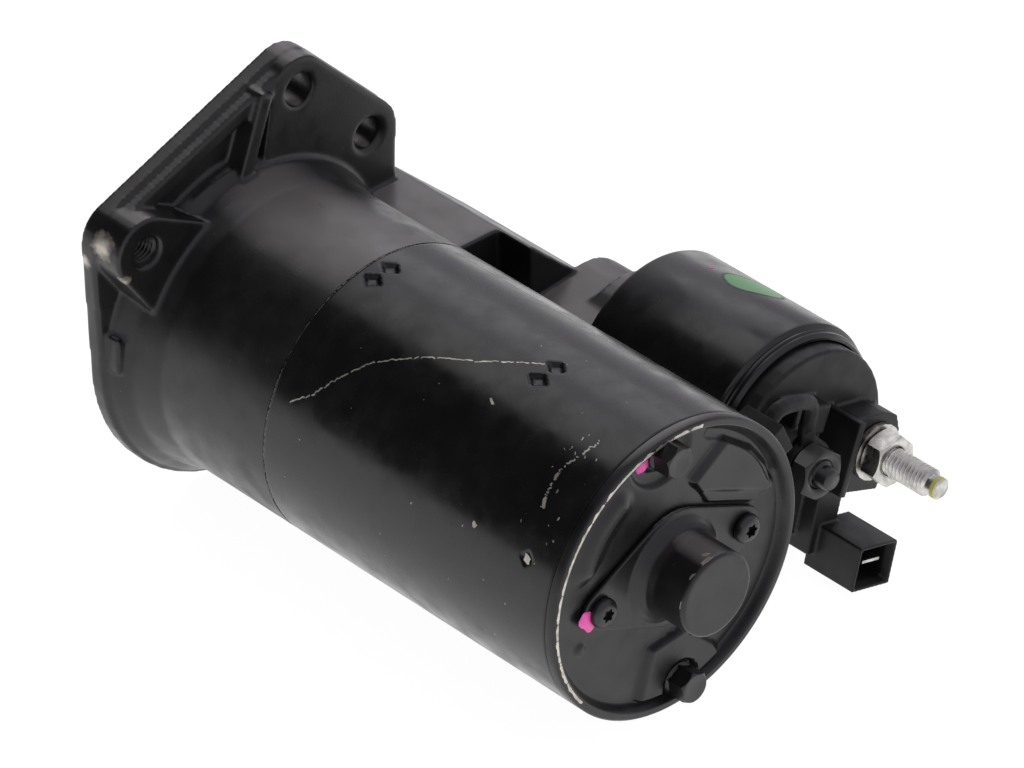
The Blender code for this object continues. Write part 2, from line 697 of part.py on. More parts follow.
# Solenoid
def solenoid_shell():
    x0, x1 = SOLENOID_X
    inner = 27.0
    profile = [(x0, CASE_MOUTH_R), (x0, SOLENOID_R - 1.2), (x0 + 1.2, SOLENOID_R),
               (SOLENOID_CRIMP_X - 1.0, SOLENOID_R),
               (SOLENOID_CRIMP_X + 0.6, SOLENOID_R - 0.5), (x1 - 0.6, 28.3), (x1, 27.8), (x1, inner),
               (x0 + 4.0, inner), (x0 + 4.0, CASE_MOUTH_R)]
    case = turned("solenoid_case", profile, "tube_black", 40, (SOLENOID_Y, SOLENOID_Z))
    for point in SCREW_POINTS:
        cut(case, turned_bmesh([(80.0, 0), (80.0, 2.4), (85.5, 2.4), (85.5, 0)], 16, point))
    clean(case)
    return [case]


def solenoid_inside():
    centre = (SOLENOID_Y, SOLENOID_Z)
    origin = (0.0, *centre)
    coil = [(87.0, 10.6), (87.0, 26.5), (118.0, 26.5), (118.0, 10.6)]
    core = [(118.6, 2.4), (118.6, 26.5), (126.0, 26.5), (126.0, 2.4)]
    plunger = [(32.0, 0), (32.0, 5.6), (34.6, 5.6), (34.6, 3.4), (41.4, 3.4), (41.4, 5.6), (44.0, 5.6),
               (44.0, 4.0), (COLLAR_X[0], 4.0), (COLLAR_X[0], COLLAR_R), (COLLAR_X[1], COLLAR_R),
               (COLLAR_X[1], 6.0),
               (84.0, 6.0), (84.0, 9.6), (108.0, 9.6), (108.0, 0)]
    spring_start = COLLAR_X[1] + GAP
    spring_length = SOLENOID_X[0] - GAP - spring_start
    spring = coil_bmesh((spring_start, *centre), (1, 0, 0), spring_length, PLUNGER_SPRING_R,
                        PLUNGER_SPRING_WIRE, PLUNGER_SPRING_TURNS, 12, 4)
    pieces = [turned("solenoid_coil", coil, "copper", 28, centre)]
    pieces.append(turned("solenoid_core", core, "steel", 28, centre))
    pieces.append(turned("plunger", plunger, "steel", 16, centre, origin))
    pieces.append(new_object("plunger_spring", spring, "steel"))
    bridge = extruded_bmesh(rectangle(32.0, 9.0, centre, battery_line_angle()), *CONTACT_X)
    pieces.append(new_object("contact_bridge", bridge, "copper", origin))
    contact_spring = coil_bmesh((CONTACT_X[1] + 0.4, *centre), (1, 0, 0), CONTACT_SPRING_LENGTH,
                                CONTACT_SPRING_R, CONTACT_SPRING_WIRE, CONTACT_SPRING_TURNS, 8, 4)
    pieces.append(new_object("contact_spring", contact_spring, "steel"))
    return pieces


def battery_line_angle():
    return math.degrees(math.atan2(BATTERY_STUD[1] - MOTOR_STUD[1], BATTERY_STUD[0] - MOTOR_STUD[0]))


def solenoid_cap():
    centre = (SOLENOID_Y, SOLENOID_Z)
    tilt = battery_line_angle()
    profile = [(131.8, 0), (131.8, CAP_R), (CAP_FACE_X - 0.6, CAP_R), (CAP_FACE_X, CAP_R - 0.6),
               (CAP_FACE_X, 0)]
    cap = turned("solenoid_cap", profile, "plastic_black", 40, centre)
    battery_boss = hull(rectangle(15.0, 21.0, (86.5, -15.6), tilt), circle(8.0, (90.0, -13.0), 20))
    join(cap, extruded_bmesh(battery_boss, 136.0, 148.0))
    join(cap, extruded_bmesh(hull(circle(8.0, MOTOR_STUD, 20), circle(6.0, (66.0, -8.0), 20)), 136.2, 149.0))
    barrier = rectangle(2.2, 21.0, (77.2, -11.2), tilt)
    join(cap, extruded_bmesh(barrier, 136.4, 152.0))
    join(cap, extruded_bmesh(rectangle(13.0, 8.0, (67.5, 2.6), tilt), 136.6, 146.0))
    shroud = rectangle(*CONNECTOR_SIZE, CONNECTOR_CENTRE, CONNECTOR_TILT)
    join(cap, extruded_bmesh(shroud, *CONNECTOR_X))
    link = rectangle(9.0, 24.0, (75.6, -29.5), CONNECTOR_TILT)
    join(cap, extruded_bmesh(link, 134.9, 145.0))
    opening_size = [side - 2 * CONNECTOR_WALL for side in CONNECTOR_SIZE]
    opening = rectangle(*opening_size, CONNECTOR_CENTRE, CONNECTOR_TILT)
    cut(cap, extruded_bmesh(opening, CONNECTOR_X[1] - CONNECTOR_DEPTH, CONNECTOR_X[1] + 1))
    chamber = [(130.0, 0), (130.0, 22.9), (136.9, 22.9), (136.9, 0)]
    cut(cap, turned_bmesh(chamber, 28, centre))
    for stud in (BATTERY_STUD, MOTOR_STUD):
        hole = [(130.0, 0), (130.0, STUD_R + GAP), (153.0, STUD_R + GAP), (153.0, 0)]
        cut(cap, turned_bmesh(hole, 20, stud))
    clean(cap)
    return [cap]


def stud(name, centre, end_x, material):
    head_x = 133.6
    profile = [(head_x, 0), (head_x, 5.5), (head_x + 2.6, 5.5), (head_x + 2.6, STUD_R), (end_x - 4.2, STUD_R),
               (end_x - 3.4, 3.0), (end_x - 0.5, 3.0), (end_x, 2.6), (end_x, 0)]
    return turned(name, profile, material, 16, centre)


def nut(name, centre, x0, thickness, across_flats, turn_degrees, material):
    outer = hexagon(across_flats, centre, turn_degrees)
    body = extruded(name, outer, x0, x0 + thickness, material)
    hole_r = STUD_R + GAP
    x1 = x0 + thickness + 1
    cut(body, turned_bmesh([(x0 - 1, 0), (x0 - 1, hole_r), (x1, hole_r), (x1, 0)], 16, centre))
    clean(body)
    return body


def terminals():
    pieces = [stud("battery_stud", BATTERY_STUD, BATTERY_STUD_END, "zinc")]
    pieces.append(stud("motor_stud", MOTOR_STUD, MOTOR_STUD_END, "black_steel"))
    hole_r = STUD_R + GAP
    washer = [(148.3, hole_r), (148.3, 8.0), (149.7, 8.0), (149.7, hole_r)]
    pieces.append(turned("battery_washer", washer, "zinc", 20, BATTERY_STUD))
    pieces.append(nut("battery_nut", BATTERY_STUD, 150.0, 6.0, 13.0, 12.0, "zinc"))
    pieces.append(nut("motor_nut", MOTOR_STUD, 152.0, 5.5, 13.0, 20.0, "cast_black"))
    blade_centre = polar(BLADE_RAISE, CONNECTOR_TILT + 90, CONNECTOR_CENTRE)
    blade = rectangle(*BLADE_SIZE, blade_centre, CONNECTOR_TILT)
    blade_x = (CONNECTOR_X[1] - CONNECTOR_DEPTH + GAP, CONNECTOR_X[1] - BLADE_RECESS)
    pieces.append(extruded("control_blade", blade, *blade_x, "zinc"))
    return pieces


def motor_lead():
    """Lead from the grommet to a ring lug under the motor nut."""
    lug_x = (149.3, 151.7)
    ring = [(lug_x[0], STUD_R + GAP), (lug_x[0], 7.0), (lug_x[1], 7.0), (lug_x[1], STUD_R + GAP)]
    lead = turned("motor_lead", ring, "rubber", 24, MOTOR_STUD)
    exit_y, exit_z = polar(YOKE_R + 5.2, GROMMET_ANGLE)
    out = Vector((0, *polar(1, GROMMET_ANGLE)))
    start = Vector((155.5, exit_y, exit_z))
    lug_end = Vector((150.5, *polar(11.0, LUG_ANGLE, MOTOR_STUD)))
    points = [start, start + out * 5, Vector((152.5, 60.0, 15.0)), lug_end]
    tongue = rectangle(8.0, 5.0, polar(8.6, LUG_ANGLE, MOTOR_STUD), LUG_ANGLE)
    join(lead, extruded_bmesh(tongue, 149.4, 151.6))
    join(lead, tube_bmesh(smooth_path(points, 4), 2.2, 8))
    clean(lead)
    return [lead]


def smooth_path(points, steps):
    """Points of a Catmull-Rom curve through the given points."""
    ends = [2 * points[0] - points[1]] + points + [2 * points[-1] - points[-2]]
    path = []
    for a, b, c, d in zip(ends, ends[1:], ends[2:], ends[3:]):
        for s in range(steps):
            t = s / steps
            path.append(0.5 * (2 * b + (c - a) * t + (2 * a - 5 * b + 4 * c - d) * t ** 2
                               + (3 * b - a - 3 * c + d) * t ** 3))
    return path + [points[-1]]


def tube_bmesh(path, radius, sides):
    bm = bmesh.new()
    rings = []
    for i, point in enumerate(path):
        along = (path[min(i + 1, len(path) - 1)] - path[max(i - 1, 0)]).normalized()
        side = along.cross(Vector((1, 0, 0))).normalized()
        other = along.cross(side)
        rings.append([bm.verts.new(point + radius * (math.cos(t) * side + math.sin(t) * other))
                      for t in (2 * math.pi * s / sides for s in range(sides))])
    for a, b in zip(rings, rings[1:]):
        for s in range(sides):
            t = (s + 1) % sides
            bm.faces.new((a[s], a[t], b[t], b[s]))
    bm.faces.new(rings[0][::-1])
    bm.faces.new(rings[-1])
    return bm


def lead_grommet():
    x0, x1 = GROMMET_X
    outline = rectangle(7.4, 9.2, polar(YOKE_R + 0.7, GROMMET_ANGLE), GROMMET_ANGLE)
    return [extruded("lead_grommet", outline, x0, x1 - GAP, "rubber")]


def solenoid_screws():
    pieces = []
    for i, point in enumerate(SCREW_POINTS):
        profile = [(66.5, 0), (66.5, 3.6), (69.7, 3.6), (69.7, 2.1), (85.2, 2.1), (85.2, 0)]
        pieces.append(turned(f"solenoid_screw_{i + 1}", profile, "black_steel", 18, point))
    return pieces


def lever_pivot():
    middle = Vector((LEVER_PIVOT_X, *polar(LEVER_LONG_ARM, SOLENOID_ANGLE)))
    return [new_object("lever_pivot", pin_bmesh(middle, 2.5, 23.4), "steel")]


def fork_lever():
    """Flat lever across the two axes, forked at both ends, drawn upright and tilted to its rest angle."""
    long_arm, short_arm = LEVER_LONG_ARM, LEVER_SHORT_ARM
    fork_in, fork_out = 11.0, 14.6
    # (distance from the pivot towards the solenoid, distance across)
    half = [(-long_arm - 4.0, fork_out), (-long_arm + 16.5, fork_out), (-long_arm + 22.0, 4.6),
            (short_arm - 10.0, 4.6), (short_arm - 6.0, 6.2), (short_arm + 2.5, 6.2),
            (short_arm + 2.5, 3.8), (short_arm - 5.0, 3.8)]
    slot_back = [(-long_arm + 14.5, 0.0), (-long_arm + 12.0, fork_in), (-long_arm - 4.0, fork_in)]
    upper = half + [(short_arm - 5.0, 0.0)]
    outline = upper + [(d, -t) for d, t in reversed(half)]
    outline += [(d, -t) for d, t in reversed(slot_back[1:])] + slot_back
    bm = bmesh.new()
    along = Vector((0, *polar(1, SOLENOID_ANGLE)))
    across = Vector((0, *polar(1, SOLENOID_ANGLE + 90)))
    pivot = Vector((LEVER_PIVOT_X, *polar(LEVER_LONG_ARM, SOLENOID_ANGLE)))
    layers = []
    for x in (-1.5, 1.5):
        layers.append([bm.verts.new(pivot + Vector((x, 0, 0)) + along * d + across * t) for d, t in outline])
    bm.faces.new(layers[0])
    bm.faces.new(layers[1][::-1])
    for i in range(len(outline)):
        j = (i + 1) % len(outline)
        bm.faces.new((layers[0][j], layers[0][i], layers[1][i], layers[1][j]))
    tilt = Matrix.Translation(pivot) @ Matrix.Rotation(math.radians(LEVER_REST_TILT), 4, across)
    bmesh.ops.transform(bm, matrix=tilt @ Matrix.Translation(-pivot), verts=bm.verts)
    lever = new_object("fork_lever", bm, "steel", tuple(pivot))
    hub = pin_bmesh(pivot, 5.2, 9.0)
    bmesh.ops.transform(hub, matrix=Matrix.Translation(-pivot), verts=hub.verts)
    place_tool_at_pivot(lever, hub)
    return [lever]


def place_tool_at_pivot(lever, hub):
    """Join the hub and cut the pivot hole, both given round the lever's own origin."""
    location = lever.location.copy()
    lever.location = (0, 0, 0)
    join(lever, hub)
    cut(lever, pin_bmesh(Vector((0, 0, 0)), 2.8, 30.0))
    lever.location = location
    clean(lever)


def build():
    clear_scene()
    holder = bpy.data.objects.new("motor_frame", None)
    bpy.context.scene.collection.objects.link(holder)
    makers = (drive_housing, front_bearing_and_seal, yoke, magnets, end_cover, bearing_cap, cap_screws,
              through_bolts, rear_bush, ring_gear, gear_plate, planet_carrier, planet_gears, clutch, pinion,
              armature_shaft, armature_core, winding_heads, commutator, brush_holder, brushes, solenoid_shell,
              solenoid_inside, solenoid_cap, terminals, motor_lead, lead_grommet, solenoid_screws,
              lever_pivot, fork_lever)
    for maker in makers:
        for piece in maker():
            place(piece, holder)
    holder.location = ORIGIN * MM


build()
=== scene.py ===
"""Looks of the starter motor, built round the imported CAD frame.

Lengths are in millimetres in the motor frame, unless a name ends in _M: the origin is on the
motor axis at the flange face, +X runs towards the end cover and the solenoid is on the +Y side.
"""
import json
import math
import random

import bmesh
import bpy
from mathutils import Matrix, Vector, noise


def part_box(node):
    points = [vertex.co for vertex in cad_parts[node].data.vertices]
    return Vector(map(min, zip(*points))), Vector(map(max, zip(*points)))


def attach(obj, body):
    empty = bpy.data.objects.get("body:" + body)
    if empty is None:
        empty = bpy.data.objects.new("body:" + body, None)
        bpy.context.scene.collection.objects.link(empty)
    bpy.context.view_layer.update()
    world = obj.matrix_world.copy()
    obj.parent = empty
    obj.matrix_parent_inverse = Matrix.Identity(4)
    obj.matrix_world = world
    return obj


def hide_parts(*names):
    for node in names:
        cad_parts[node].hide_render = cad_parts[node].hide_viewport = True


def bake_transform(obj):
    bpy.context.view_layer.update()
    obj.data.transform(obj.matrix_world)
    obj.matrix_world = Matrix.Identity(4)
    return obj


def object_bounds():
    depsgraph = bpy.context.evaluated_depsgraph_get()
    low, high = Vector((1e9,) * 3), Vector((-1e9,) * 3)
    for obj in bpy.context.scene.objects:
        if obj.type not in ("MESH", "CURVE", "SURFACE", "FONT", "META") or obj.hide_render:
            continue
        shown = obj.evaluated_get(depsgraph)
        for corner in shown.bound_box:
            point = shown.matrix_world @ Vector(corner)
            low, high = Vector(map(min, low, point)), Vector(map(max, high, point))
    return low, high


MM = 0.001
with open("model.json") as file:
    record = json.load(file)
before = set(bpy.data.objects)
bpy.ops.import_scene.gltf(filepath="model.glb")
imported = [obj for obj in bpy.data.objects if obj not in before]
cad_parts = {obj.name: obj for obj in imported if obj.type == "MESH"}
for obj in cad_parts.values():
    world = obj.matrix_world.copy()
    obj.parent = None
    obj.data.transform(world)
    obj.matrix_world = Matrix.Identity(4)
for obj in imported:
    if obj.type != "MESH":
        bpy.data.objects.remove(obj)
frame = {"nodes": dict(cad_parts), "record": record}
CAD_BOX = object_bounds()

# The motor frame, read from the tube's place in the CAD frame
TUBE_R = 41.5
TUBE_START_X = 59.9
_low, _high = (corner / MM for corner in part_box("yoke"))
ORIGIN = Vector((_low.x - TUBE_START_X, (_low.y + _high.y) / 2, (_low.z + _high.z) / 2))


def local_box(node):
    low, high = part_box(node)
    return low / MM - ORIGIN, high / MM - ORIGIN


def span_x(node):
    low, high = local_box(node)
    return low.x, high.x


def centre_yz(node):
    low, high = local_box(node)
    return ((low.y + high.y) / 2, (low.z + high.z) / 2)


TUBE_X = span_x("yoke")
COVER_X = span_x("end_cover")
COVER_RIM_X = COVER_X[1]
COVER_FACE_X = COVER_RIM_X - 2.8
COVER_STEP_X = TUBE_X[1] + 0.3
SEAM_X = TUBE_X[0] - 0.3
CAN_CENTRE = centre_yz("solenoid_case")
CAN_X = span_x("solenoid_case")
CAN_R = 30.0
BATTERY = centre_yz("battery_stud")
MOTOR = centre_yz("motor_stud")
STUD_R = 4.0
THREAD_PITCH = 1.25
THREAD_DEPTH = 0.65
BOLT_CENTRES = [centre_yz("through_bolt_1"), centre_yz("through_bolt_2")]
SCREW_CENTRES = [centre_yz("cap_screw_1"), centre_yz("cap_screw_2")]
THREADED_HOLE = (-39.9, 38.4)

# Control connector: the shroud round the blade
CONNECTOR_CENTRE = (78.3, -40.6)
CONNECTOR_SIZE = (13.8, 12.5)
CONNECTOR_WALL = 1.5
CONNECTOR_TILT = -14.0
CONNECTOR_END_X = 160.0

# Camera: the direction from the object to the eye, the distance and the point it looks at
CAMERA_AZIMUTH = 47.12
CAMERA_ELEVATION = 34.14
CAMERA_DISTANCE = 1749.1
CAMERA_TARGET = Vector((107.3, 0.0, 25.95))
CAMERA_LENS = 246.5

# Colours, linear
BLACK = (0.006, 0.006, 0.0065)
DUST = (0.075, 0.070, 0.066)
# Grey for faces that point up: dust, with painted light from above mixed in
SETTLED_DUST_AND_TOP_LIGHT = (0.17, 0.16, 0.155)
BARE_METAL = (0.52, 0.48, 0.42)
ZINC = (0.66, 0.65, 0.61)
STEEL = (0.42, 0.42, 0.43)
COPPER = (0.65, 0.28, 0.14)
BRONZE = (0.50, 0.32, 0.13)
PINK = (0.78, 0.09, 0.38)
GREEN = (0.13, 0.34, 0.14)
DARK_GREEN = (0.015, 0.06, 0.02)
YELLOW_GREEN = (0.48, 0.46, 0.12)

random.seed(7)


# Materials
class Nodes:
    """A Principled material and short ways to add nodes to it."""

    def __init__(self, name, color, roughness, metallic=0.0, specular=0.5):
        self.material = bpy.data.materials.new(name)
        self.material.use_nodes = True
        self.tree = self.material.node_tree
        self.shader = self.tree.nodes["Principled BSDF"]
        self.shader.inputs["Base Color"].default_value = (*color, 1)
        self.shader.inputs["Roughness"].default_value = roughness
        self.shader.inputs["Metallic"].default_value = metallic
        self.shader.inputs["Specular IOR Level"].default_value = specular
        self.place = self.add("ShaderNodeTexCoord").outputs["Object"]

    def add(self, kind, **values):
        node = self.tree.nodes.new(kind)
        for key, value in values.items():
            setattr(node, key, value)
        return node

    def link(self, start, end):
        self.tree.links.new(start, end)

    def noise(self, size_mm, detail=3.0):
        node = self.add("ShaderNodeTexNoise")
        node.inputs["Scale"].default_value = 1 / (size_mm * MM)
        node.inputs["Detail"].default_value = detail
        self.link(self.place, node.inputs["Vector"])
        return node.outputs["Fac"]

    def ramp(self, value, low, high, out_low=0.0, out_high=1.0):
        node = self.add("ShaderNodeMapRange")
        node.inputs["From Min"].default_value = low
        node.inputs["From Max"].default_value = high
        node.inputs["To Min"].default_value = out_low
        node.inputs["To Max"].default_value = out_high
        self.link(value, node.inputs["Value"])
        return node.outputs["Result"]

    def math(self, operation, first, second):
        node = self.add("ShaderNodeMath", operation=operation)
        for socket, value in zip(node.inputs, (first, second)):
            if isinstance(value, float):
                socket.default_value = value
            else:
                self.link(value, socket)
        return node.outputs["Value"]

    def mix_color(self, factor, first, second):
        node = self.add("ShaderNodeMix", data_type="RGBA")
        self.link(factor, node.inputs["Factor"])
        for socket, value in ((node.inputs["A"], first), (node.inputs["B"], second)):
            socket = [s for s in node.inputs if s.name == socket.name and s.type == "RGBA"][0]
            if isinstance(value, tuple):
                socket.default_value = (*value, 1)
            else:
                self.link(value, socket)
        return [s for s in node.outputs if s.type == "RGBA"][0]

    def bump(self, height, depth_mm):
        node = self.add("ShaderNodeBump")
        node.inputs["Strength"].default_value = 1.0
        node.inputs["Distance"].default_value = depth_mm * MM
        self.link(height, node.inputs["Height"])
        self.link(node.outputs["Normal"], self.shader.inputs["Normal"])

    def near(self, point, radius):
        """1 at a point of the motor frame, falling to 0 at the radius, with a ragged edge."""
        node = self.add("ShaderNodeVectorMath", operation="DISTANCE")
        node.inputs[1].default_value = (Vector(point) + ORIGIN) * MM
        self.link(self.place, node.inputs[0])
        ragged = self.math("MULTIPLY", self.noise(2.2, 6.0), radius * MM)
        distance = self.math("ADD", node.outputs["Value"], ragged)
        return self.ramp(distance, radius * MM * 1.35, radius * MM * 0.75)


def black_paint(name, roughness, grain_mm, depth_mm, dust, specular=0.5, worn=(), settled_dust_and_top_light=0.0):
    """Black paint: grain, patchy dust, grey dust and painted top light on faces that point up, pin-head
    flecks, bare metal where worn.
    """
    n = Nodes(name, BLACK, roughness, specular=specular)
    patches = n.ramp(n.noise(16.0, 6.0), 0.42, 0.78, 0.0, dust)
    color = n.mix_color(patches, BLACK, DUST)
    if settled_dust_and_top_light:
        # Faces that point up turn lighter grey: part dust, part painted light from above
        facing = n.add("ShaderNodeSeparateXYZ")
        n.link(n.add("ShaderNodeNewGeometry").outputs["Normal"], facing.inputs["Vector"])
        upward_dust_and_light = n.ramp(facing.outputs["Z"], 0.90, 0.99, 0.0, settled_dust_and_top_light)
        color = n.mix_color(upward_dust_and_light, color, SETTLED_DUST_AND_TOP_LIGHT)
    flecks = n.ramp(n.noise(0.8, 2.0), 0.79, 0.82, 0.0, 0.45)
    color = n.mix_color(flecks, color, BARE_METAL)
    bare = None
    for point, radius in worn:
        here = n.near(point, radius)
        bare = here if bare is None else n.math("MAXIMUM", bare, here)
    if bare is not None:
        color = n.mix_color(bare, color, BARE_METAL)
        n.link(n.math("MULTIPLY", bare, 0.8), n.shader.inputs["Metallic"])
    n.link(color, n.shader.inputs["Base Color"])
    rough = n.ramp(n.noise(7.0, 5.0), 0.3, 0.75, roughness - 0.07, roughness + 0.13)
    n.link(rough, n.shader.inputs["Roughness"])
    n.bump(n.noise(grain_mm, 4.0), depth_mm)
    return n.material


def metal(name, color, roughness, grain_mm=0.5, depth_mm=0.01):
    """Bare or plated metal with slight stains and a fine surface."""
    n = Nodes(name, color, roughness, 1.0)
    dark = tuple(0.55 * c for c in color)
    n.link(n.mix_color(n.ramp(n.noise(3.0, 5.0), 0.4, 0.75), color, dark), n.shader.inputs["Base Color"])
    rough = n.ramp(n.noise(1.5, 4.0), 0.3, 0.7, roughness - 0.06, roughness + 0.12)
    n.link(rough, n.shader.inputs["Roughness"])
    n.bump(n.noise(grain_mm, 3.0), depth_mm)
    return n.material


def paint_dab(name, color):
    n = Nodes(name, color, 0.4)
    lighter = tuple(min(1.0, 1.4 * c) for c in color)
    n.link(n.mix_color(n.noise(1.0, 3.0), color, lighter), n.shader.inputs["Base Color"])
    n.bump(n.noise(0.5, 2.0), 0.03)
    return n.material


WORN_CORNER = [((8.0, -48.6, 41.0), 5.0), ((13.5, -47.0, 33.0), 2.4), ((2.0, -49.0, 34.0), 2.6)]
MATERIALS = {
    "cast_black": black_paint("cast_black_paint", 0.34, 0.55, 0.030, 0.14, 0.5, WORN_CORNER, 0.9),
    "tube_black": black_paint("tube_black_paint", 0.24, 0.25, 0.004, 0.04, 0.5),
    "moulded_black": black_paint("moulded_black_plastic", 0.46, 0.30, 0.012, 0.22, 0.4),
    "black_screw": black_paint("blackened_steel", 0.34, 0.60, 0.015, 0.20, 0.6),
    "black_rubber": black_paint("black_rubber", 0.62, 0.40, 0.020, 0.30, 0.3),
    "ferrite": black_paint("dark_ceramic", 0.60, 0.30, 0.010, 0.80, 0.3),
    "carbon": black_paint("copper_graphite", 0.50, 0.30, 0.010, 0.50, 0.3),
    "zinc_plate": metal("zinc_plate", ZINC, 0.28),
    "bare_steel": metal("machined_steel", STEEL, 0.34),
    "copper": metal("bare_copper", COPPER, 0.32),
    "bronze": metal("sintered_bronze", BRONZE, 0.40),
    "scratch": metal("scratched_metal", (0.70, 0.67, 0.60), 0.5),
    "pink": paint_dab("pink_paint", PINK),
    "green": paint_dab("green_paint", GREEN),
    "dark_green": paint_dab("dark_green_paint", DARK_GREEN),
    "yellow": paint_dab("yellow_green_paint", YELLOW_GREEN),
}


# Mesh helpers
def polar(radius, degrees, centre=(0.0, 0.0)):
    angle = math.radians(degrees)
    return (centre[0] + radius * math.cos(angle), centre[1] + radius * math.sin(angle))


def circle(radius, centre=(0.0, 0.0), segments=48):
    return [polar(radius, 360 * i / segments, centre) for i in range(segments)]


def lathe(profile, centre=(0.0, 0.0), segments=96):
    """Turn a closed profile of (x, radius) points round an axis along X."""
    bm = bmesh.new()
    rings = []
    for x, radius in profile:
        if radius < 1e-6:
            rings.append([bm.verts.new((x, *centre))] * segments)
        else:
            rings.append([bm.verts.new((x, y, z)) for y, z in circle(radius, centre, segments)])
    for here, there in zip(rings, rings[1:] + rings[:1]):
        for i in range(segments):
            j = (i + 1) % segments
            corners = list(dict.fromkeys((here[i], here[j], there[j], there[i])))
            if len(corners) > 2:
                bm.faces.new(corners)
    return bm


def prism(outline, x0, x1):
    bm = bmesh.new()
    low = [bm.verts.new((x0, y, z)) for y, z in outline]
    high = [bm.verts.new((x1, y, z)) for y, z in outline]
    bm.faces.new(low[::-1])
    bm.faces.new(high)
    for i in range(len(outline)):
        j = (i + 1) % len(outline)
        bm.faces.new((low[i], low[j], high[j], high[i]))
    return bm


def to_object(name, bm):
    """Mesh in the motor frame to an object in the frame's metres."""
    bmesh.ops.recalc_face_normals(bm, faces=bm.faces)
    bmesh.ops.transform(bm, matrix=Matrix.Scale(MM, 4) @ Matrix.Translation(ORIGIN), verts=bm.verts)
    mesh = bpy.data.meshes.new(name)
    bm.to_mesh(mesh)
    bm.free()
    obj = bpy.data.objects.new(name, mesh)
    bpy.context.scene.collection.objects.link(obj)
    return obj


def dress(obj, slot, replaces=(), material=None, body="root", sharp=40.0):
    """Shade, paint and attach a piece."""
    obj.data.materials.clear()
    obj.data.materials.append(MATERIALS[material or slot])
    obj.data.shade_smooth()
    obj.data.set_sharp_from_angle(angle=math.radians(sharp))
    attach(obj, body)
    if replaces:
        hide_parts(*replaces)
    return obj


def bake_modifiers(obj):
    bpy.context.view_layer.update()
    evaluated = obj.evaluated_get(bpy.context.evaluated_depsgraph_get())
    mesh = bpy.data.meshes.new_from_object(evaluated)
    obj.modifiers.clear()
    obj.data = mesh


def combine(obj, operation, bm, solver="EXACT"):
    tool = to_object("tool", bm)
    modifier = obj.modifiers.new("shape", "BOOLEAN")
    modifier.operation = operation
    modifier.object = tool
    modifier.solver = solver
    bake_modifiers(obj)
    bpy.data.objects.remove(tool)


def soften(obj, voxel_mm, rounds):
    """Remesh a solid and smooth it, which rounds its edges and fills its corners like a casting."""
    remesh = obj.modifiers.new("remesh", "REMESH")
    remesh.mode = "VOXEL"
    remesh.voxel_size = voxel_mm * MM
    smooth = obj.modifiers.new("smooth", "SMOOTH")
    smooth.factor = 0.5
    smooth.iterations = rounds
    bake_modifiers(obj)


def copy_of(node, name):
    obj = bpy.data.objects.new(name, frame["nodes"][node].data.copy())
    bpy.context.scene.collection.objects.link(obj)
    return obj


def smoothstep(value):
    t = max(0.0, min(1.0, value))
    return t * t * (3 - 2 * t)


# Housing
def arc_band(inner, outer, start, end, segments=16):
    angles = [start + (end - start) * i / segments for i in range(segments + 1)]
    return [polar(outer, a) for a in angles] + [polar(inner, a) for a in reversed(angles)]


CAST_VOXEL = 0.6
CAST_ROUNDS = 7
CAP_VOXEL = 0.35
CAP_ROUNDS = 5
MOULDED_VOXEL = 0.38
MOULDED_ROUNDS = 2
RUBBER_VOXEL = 0.3
RUBBER_ROUNDS = 10


def cast_housing():
    housing = copy_of("drive_housing", "cast_housing")
    root_rib = arc_band(40.0, 46.0, 93.0, 114.0)
    combine(housing, "UNION", prism(root_rib, 1.0, 8.6))
    cast_step = [(-46.6, 12.0), (-46.8, 1.5), (-31.0, -4.0), (-31.0, 3.4)]
    combine(housing, "UNION", prism(cast_step, 1.2, 9.5))
    thread_room = [(-1.0, 0), (-1.0, 4.35), (13.3, 4.35), (14.7, 5.0), (16.0, 5.0), (16.0, 0)]
    combine(housing, "DIFFERENCE", lathe(thread_room, THREADED_HOLE, 32))
    # The round body runs past the seam and is cut flat after the smoothing, which keeps the seam crisp.
    body = [(2.6, 39.0), (2.6, 47.7), (6.5, 46.5), (11.0, 43.7), (20.0, TUBE_R), (SEAM_X + 2, TUBE_R),
            (SEAM_X + 2, 31.2), (SEAM_X - 3, 31.2), (SEAM_X - 3, 39.0)]
    combine(housing, "UNION", lathe(body, segments=192))
    soften(housing, CAST_VOXEL, CAST_ROUNDS)
    bm = bmesh.new()
    bm.from_mesh(housing.data)
    seam = Vector((SEAM_X + ORIGIN.x, 0, 0)) * MM
    everything = bm.verts[:] + bm.edges[:] + bm.faces[:]
    plane_no = Vector((1, 0, 0))
    # Only the round end reaches past the seam near the motor axis; the solenoid seat stays whole.
    near_axis = [v for v in bm.verts if distance_from_axis(v.co) < TUBE_R + 0.4 and v.co.x > seam.x - 0.004]
    chosen = set(near_axis)
    geometry = [g for g in everything if all(v in chosen for v in (g.verts if hasattr(g, "verts") else [g]))]
    bmesh.ops.bisect_plane(bm, geom=geometry, plane_co=seam, plane_no=plane_no, clear_outer=True)
    bm.to_mesh(housing.data)
    bm.free()
    dress(housing, "cast_black", ["drive_housing"], sharp=60.0)


def distance_from_axis(point):
    y, z = point.y / MM - ORIGIN.y, point.z / MM - ORIGIN.z
    return math.hypot(y, z)


def thread_radius(x, degrees, major, pitch, depth):
    phase = (x / pitch - degrees / 360) % 1.0
    return major - depth * smoothstep(abs(2 * phase - 1))


def threaded_shell(x0, x1, major, pitch, depth, centre, segments=40, steps_per_turn=8):
    """Rings of points on a helical thread."""
    count = int((x1 - x0) / pitch * steps_per_turn)
    rings = []
    for k in range(count + 1):
        x = x0 + (x1 - x0) * k / count
        ring = []
        for i in range(segments):
            degrees = 360 * i / segments
            ring.append((x, *polar(thread_radius(x, degrees, major, pitch, depth), degrees, centre)))
        rings.append(ring)
    return rings


